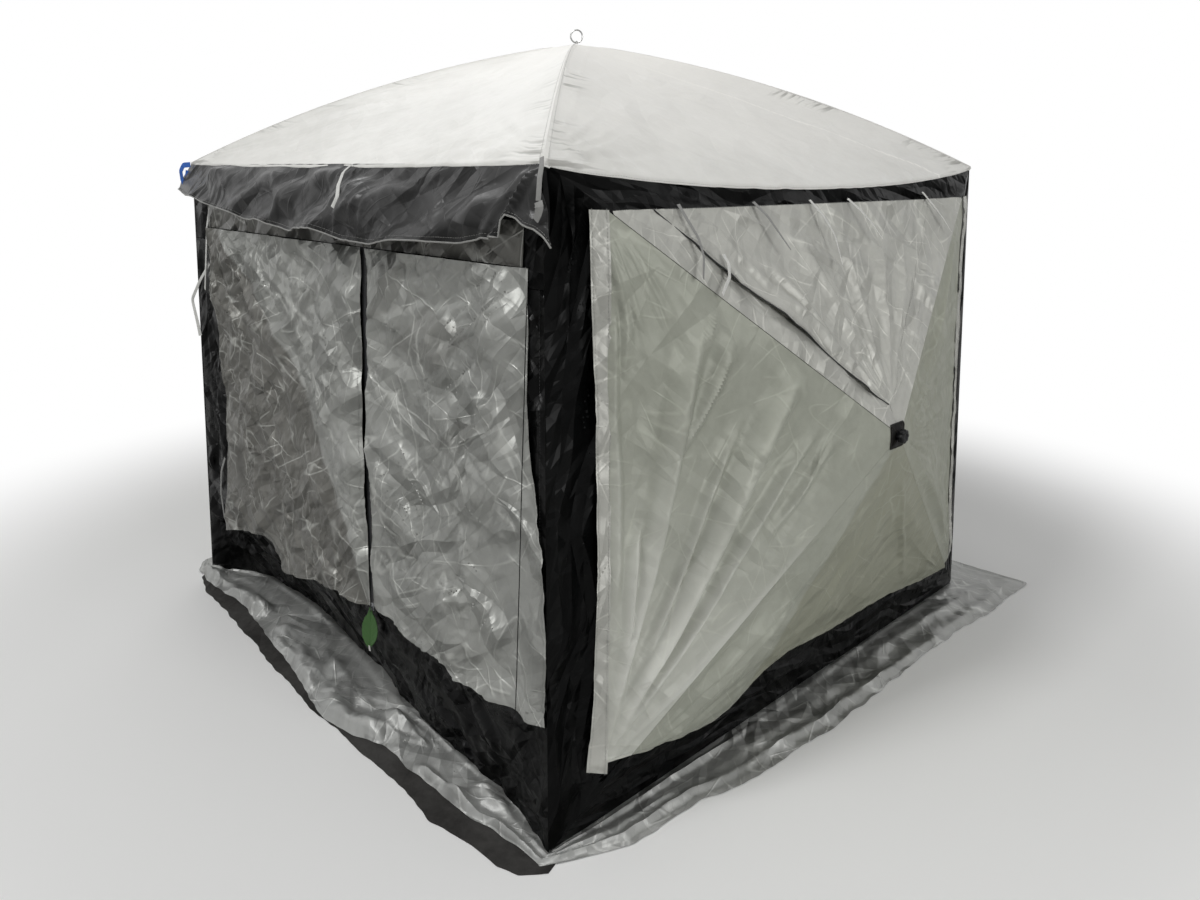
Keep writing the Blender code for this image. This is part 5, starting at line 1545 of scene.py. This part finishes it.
# The leaf-shaped tab on the zip's puller
leaf = {
    "length": 0.128,
    "width": 0.060,
    "thick": 0.0016,
    "turn": 0.34,
    "flat": (0.050, 0.130),
    "area": 0.0044,
    # half width as a share, down the leaf
    "profile": [(0, 0.16), (0.06, 0.17), (0.14, 0.30), (0.28, 0.72), (0.45, 0.98), (0.62, 1.0), (0.78, 0.84),
                (0.90, 0.50), (0.97, 0.24), (1.0, 0.12)],
    "tip": [(0, -0.0012, 0.006), (0.001, -0.0014, -0.004), (0.002, -0.0012, -0.012)],
    "tipSize": (0.0105, 0.0012),
    "loop": [(0.0, 0.004, 0.010), (0.004, 0.000, 0.004), (0.005, -0.002, -0.004), (0.002, -0.003, -0.012)],
    "cord": 0.0013,
}


def makeLeaf():
    low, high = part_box("zip_pull_tab")
    centre = (low.x + high.x) / 2
    s = np.linspace(0, 1, 46)[:, None]
    across = np.linspace(-1, 1, 19)[None]
    around = across * (readOff(leaf["profile"], s) * leaf["width"] / 2) + 0.003 * np.sin(s * 3)
    z = high.z + 0.001 - s * leaf["length"] + 0 * around
    vein = 0.0016 * (1 - smooth(np.abs(across), 0.0, 0.16)) * smooth(s, 0.08, 0.2)
    ribs = 0.0006 * np.sin((s * 20 + np.abs(across) * 5) * 2 * np.pi / 3.2)
    cup = 0.004 * across**2 * smooth(s, 0.1, 0.4)
    y = ((low.y + high.y) / 2 - middle[1] - 0.003 * smooth(s, 0.03, 0.12) - 0.010 * smooth(s, 0.2, 1.0) - cup
         - ribs * 0.6 + vein)
    turn = leaf["turn"]
    grid = np.stack([centre + around * math.cos(turn) - middle[0], y + around * math.sin(turn), z], -1)
    piece = clothMesh("zipLeaf", grid, leaf["thick"], np.stack([centre + around, z], -1), (0, -1.0, 0), "green")
    settle(piece, "zip_pull_tab", ["zip_pull_tab"])
    # a small pale tip sewn to the end, and a cord loop from the slider's puller to the leaf
    ribbon("zipLeafTip", grid[-1].mean(axis=0) + leaf["tip"], *leaf["tipSize"], (0, -1.0, 0), "white", "zip_pull_tab",
           "green_webbing", "zipLeaf", count=14)
    loop = along(grid[0].mean(axis=0) + leaf["loop"], 18)
    settle(tube("zipLeafLoop", loop, leaf["cord"], "darkThread"), "zip_pull_tab")


makeLeaf()


# What repeats: stitches on the seams and the zip's teeth, laid by one node tree each
def nodeLayer(name, shape, settings):
    tree = bpy.data.node_groups.new(name, "GeometryNodeTree")
    sockets = {"Geometry": "Geometry", "Spacing": "Float", "Width": "Float", "Height": "Float", "Long": "Float",
               "Finish": "Material"}
    names = {title: tree.interface.new_socket(title, in_out="INPUT", socket_type=f"NodeSocket{kind}").identifier
             for title, kind in sockets.items()}
    tree.interface.new_socket("Geometry", in_out="OUTPUT", socket_type="NodeSocketGeometry")
    w = Wiring(tree)
    given = w.node("NodeGroupInput", out="Geometry")
    points = w.node("GeometryNodeCurveToPoints", {"mode": "LENGTH"}, {"Curve": given, "Length": given.also("Spacing")},
                    "Points")
    size = w.node("ShaderNodeCombineXYZ", {}, {
        "X": given.also("Width"), "Y": given.also("Height"), "Z": given.also("Long")})
    laid = w.node("GeometryNodeInstanceOnPoints", {}, {
        "Points": points, "Instance": w.node(shape, {}, settings, "Mesh"), "Rotation": points.also("Rotation"),
        "Scale": size})
    real = w.node("GeometryNodeRealizeInstances", {}, {"Geometry": laid})
    finished = w.node("GeometryNodeSetMaterial", {}, {"Geometry": real, "Material": given.also("Finish")})
    w.node("NodeGroupOutput", {}, {"Geometry": finished})
    return tree, names


layers = {
    "thread": nodeLayer("seamThread", "GeometryNodeMeshCylinder", {"Vertices": 5, "Radius": 0.5, "Depth": 1.0}),
    "tooth": nodeLayer("zipTooth", "GeometryNodeMeshCube", {}),
}
stitch = {"Spacing": 0.0080, "Width": 0.0009, "Height": 0.0007, "Long": 0.0050}
roofStitch = {**stitch, "Width": 0.0008, "Height": 0.0006}
patchStitch = {**stitch, "Spacing": 0.0042, "Long": 0.0030}
zipTooth = {"Spacing": 0.0022, "Width": 0.0030, "Height": 0.0014, "Long": 0.0013}
threadLift = 0.0005


def lay(name, lines, layer, look, sizes):
    tree, names = layers[layer]
    curve = bpy.data.curves.new(name + "Path", "CURVE")
    curve.dimensions = "3D"
    for line in lines:
        spline = curve.splines.new("POLY")
        spline.points.add(len(line) - 1)
        spline.points.foreach_set("co", np.concatenate([line + middle, np.ones((len(line), 1))], 1).ravel())
    path = addObject(name + "Path", curve)
    modifier = path.modifiers.new("lay", "NODES")
    modifier.node_group = tree
    for title, value in (*sizes.items(), ("Finish", looks[look])):
        modifier[names[title]] = value
    bpy.context.view_layer.update()
    mesh = bpy.data.meshes.new_from_object(path.evaluated_get(bpy.context.evaluated_depsgraph_get()))
    bpy.data.objects.remove(path)
    mesh.name = name
    return addObject(name, mesh)


def seam(name, row=None, column=None, first=0, last=None):
    # a line just over one row or column of a piece's points
    place = np.s_[row] if column is None else np.s_[:, column]
    line, normal = (values[place] for values in grids[name])
    return (line + normal * threadLift)[first:last]


def sew(name, lines, look, body, sizes=stitch):
    settle(lay(name, lines, "thread", look, sizes), body)


for wall in walls:
    for side, row in (("left", 2), ("bottom", None), ("right", -3)):
        cover, strip = f"{wall}WindCover{side.capitalize()}", f"{wall}StormStrip{side.capitalize()}"
        if row is None:
            lines = [seam(cover, column=2)]
        else:
            lines = [seam(strip, column=2), seam(strip, column=-3), seam(cover, row=row)]
        sew(f"{wall}Seams{side.capitalize()}", lines, "thread", f"{wall}_wall_panel_{side}")
    flap, patchName = f"{wall}WindowFlap", f"{wall}HubPatch"
    sew(f"{wall}SeamsFlap", [seam(flap, column=2, last=-2), seam(flap, column=-3, last=-2)], "thread",
        f"{wall}_wall_window_flap")
    facet = walls[wall]["facets"]["top"]
    xs, ys = np.linspace(*wallShape["headerSeam"], 300), np.full(300, wallShape["headerDown"])
    sew(f"{wall}SeamsHeader", [facet.put(xs, ys, facet.hollow(xs, ys) + wallShape["headerLift"])], "thread",
        f"{wall}_wall_panel_top")
    ring = seam(patchName, row=-3)
    lines = [np.concatenate([ring, ring[:1]])]
    lines += [seam(patchName, column=corner, first=1, last=-3) for corner in (12, 36, 60, 84)]
    sew(f"{wall}SeamsPatch", lines, "patchThread", f"{wall}_wall_hub", patchStitch)

for side, spin in roof["spins"].items():
    name = f"roofGore{side.capitalize()}"
    lines = [seam(name, row=1)]
    if side in ("right", "door"):
        lines += [seam(name, column=column, first=4, last=-8) for column in (2, -3)]
    sew(f"roofSeams{side.capitalize()}", lines, "roofThread", eaveToHub(turnZ(np.array([1.0, 0, 0]), spin)),
        roofStitch)

sew("seamsDoorLeft", [seam("doorPanelLeft", column=2), seam("doorPanelLeft", column=-3), seam("doorPanelLeft", row=-4)],
    "thread", "door_panel_left")
sew("seamsDoorRight", [seam("doorPanelRight", column=2), seam("doorPanelRight", row=-4)], "thread", "door_panel_right")
sew("seamsDoorLap", [seam("doorLapRight", column=-3), seam("doorLapRight", row=-4)], "thread", "tent")
sew("seamsAwning", [seam("doorAwning", row=-3)], "thread", "door_awning")
sew("seamsCorner", [seam("doorCornerLeft", column=-4), *(seam("doorCornerRight", column=column) for column in (3, -4))],
    "darkThread", "tent")

zipDown = np.linspace(downTo(tape["top"]), downTo(tape["foot"] + 0.002), 120)
for side, offset, raised in (("Left", -0.0011, 0.0008), ("Right", 0.0011, 0.0)):
    # the two halves stand between each other
    line = doorPut(meet + offset, zipDown, tape["teethAt"]) + (0, 0, raised)
    settle(lay(f"zipTeeth{side}", [line], "tooth", "tooth", zipTooth), f"door_panel_{side.lower()}")
print("stage: seams")


# CAD nodes that keep their shape get this scene's finishes
nodeLooks = {"black_plastic": "plastic", "fibreglass": "rod", "steel": "steel", "zip_metal": "zip"}
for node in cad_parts.values():
    for place in node.material_slots:
        for key, look in nodeLooks.items():
            if place.material and place.material.name.startswith(key):
                place.material = looks[look]


# Floor, backdrop and lamps
studio = {
    "floor": (0.90, 0.90, 0.89),
    "floorHalf": 40.0,
    "floorLevel": -0.0006,
    "aim": 0.9,
    "world": 0.30,
    "lamps": [
        # place, size, power
        ((0.2, -3.4, 5.2), 1.3, 112),
        ((5.6, -0.6, 2.5), 1.5, 78),
        ((-3.4, 1.2, 4.6), 2.2, 30),
    ],
}
wide, below = studio["floorHalf"], studio["floorLevel"]
mesh = bpy.data.meshes.new("floor")
mesh.from_pydata([(x * wide, y * wide, below) for x, y in ((-1, -1), (1, -1), (1, 1), (-1, 1))], [], [(0, 1, 2, 3)])
floor = addObject("floor", mesh)
f = Finish("paleFloor")
f.set(Base_Color=studio["floor"], Roughness=0.9)
# far off, and only for the camera, the floor is as white as the backdrop
far = f.vector("LENGTH", f.place(), out="Value").ramp(2.0, 3.6) * f.node("ShaderNodeLightPath", out="Is Camera Ray")
glow = f.node("ShaderNodeEmission", {}, {"Color": (1, 1, 1), "Strength": 1.0})
mixed = f.node("ShaderNodeMixShader", {}, {0: far, 1: Wire(f, f.shader.outputs[0]), 2: glow})
f.plug(f.tree.nodes["Material Output"].inputs["Surface"], mixed)
mesh.materials.append(f.material)

world = bpy.data.worlds.new("studio")
bpy.context.scene.world = world
world.use_nodes = True
w = Wiring(world.node_tree)
w.tree.nodes.clear()
ray = w.node("ShaderNodeLightPath", out="Is Camera Ray")
seen = ray.math("MAXIMUM", ray.also("Is Glossy Ray")).math("MAXIMUM", ray.also("Is Transmission Ray"))
plain, white = (w.node("ShaderNodeBackground", {}, {"Color": (1, 1, 1), "Strength": strength})
                for strength in (studio["world"], 1.0))
w.node("ShaderNodeOutputWorld", {}, {0: w.node("ShaderNodeMixShader", {}, {0: seen, 1: plain, 2: white})})

for number, (at, size, power) in enumerate(studio["lamps"]):
    lamp = bpy.data.lights.new(f"lamp{number}", "AREA")
    lamp.shape = "SQUARE"
    lamp.size = size
    lamp.energy = power
    holder = addObject(f"lamp{number}", lamp)
    holder.location = Vector(at) + Vector(middle)
    facing = Vector((middle[0], middle[1], studio["aim"])) - holder.location
    holder.rotation_euler = facing.to_track_quat("-Z", "Y").to_euler()
bpy.context.scene.view_settings.view_transform = "Standard"
print("stage: floor and lamps")
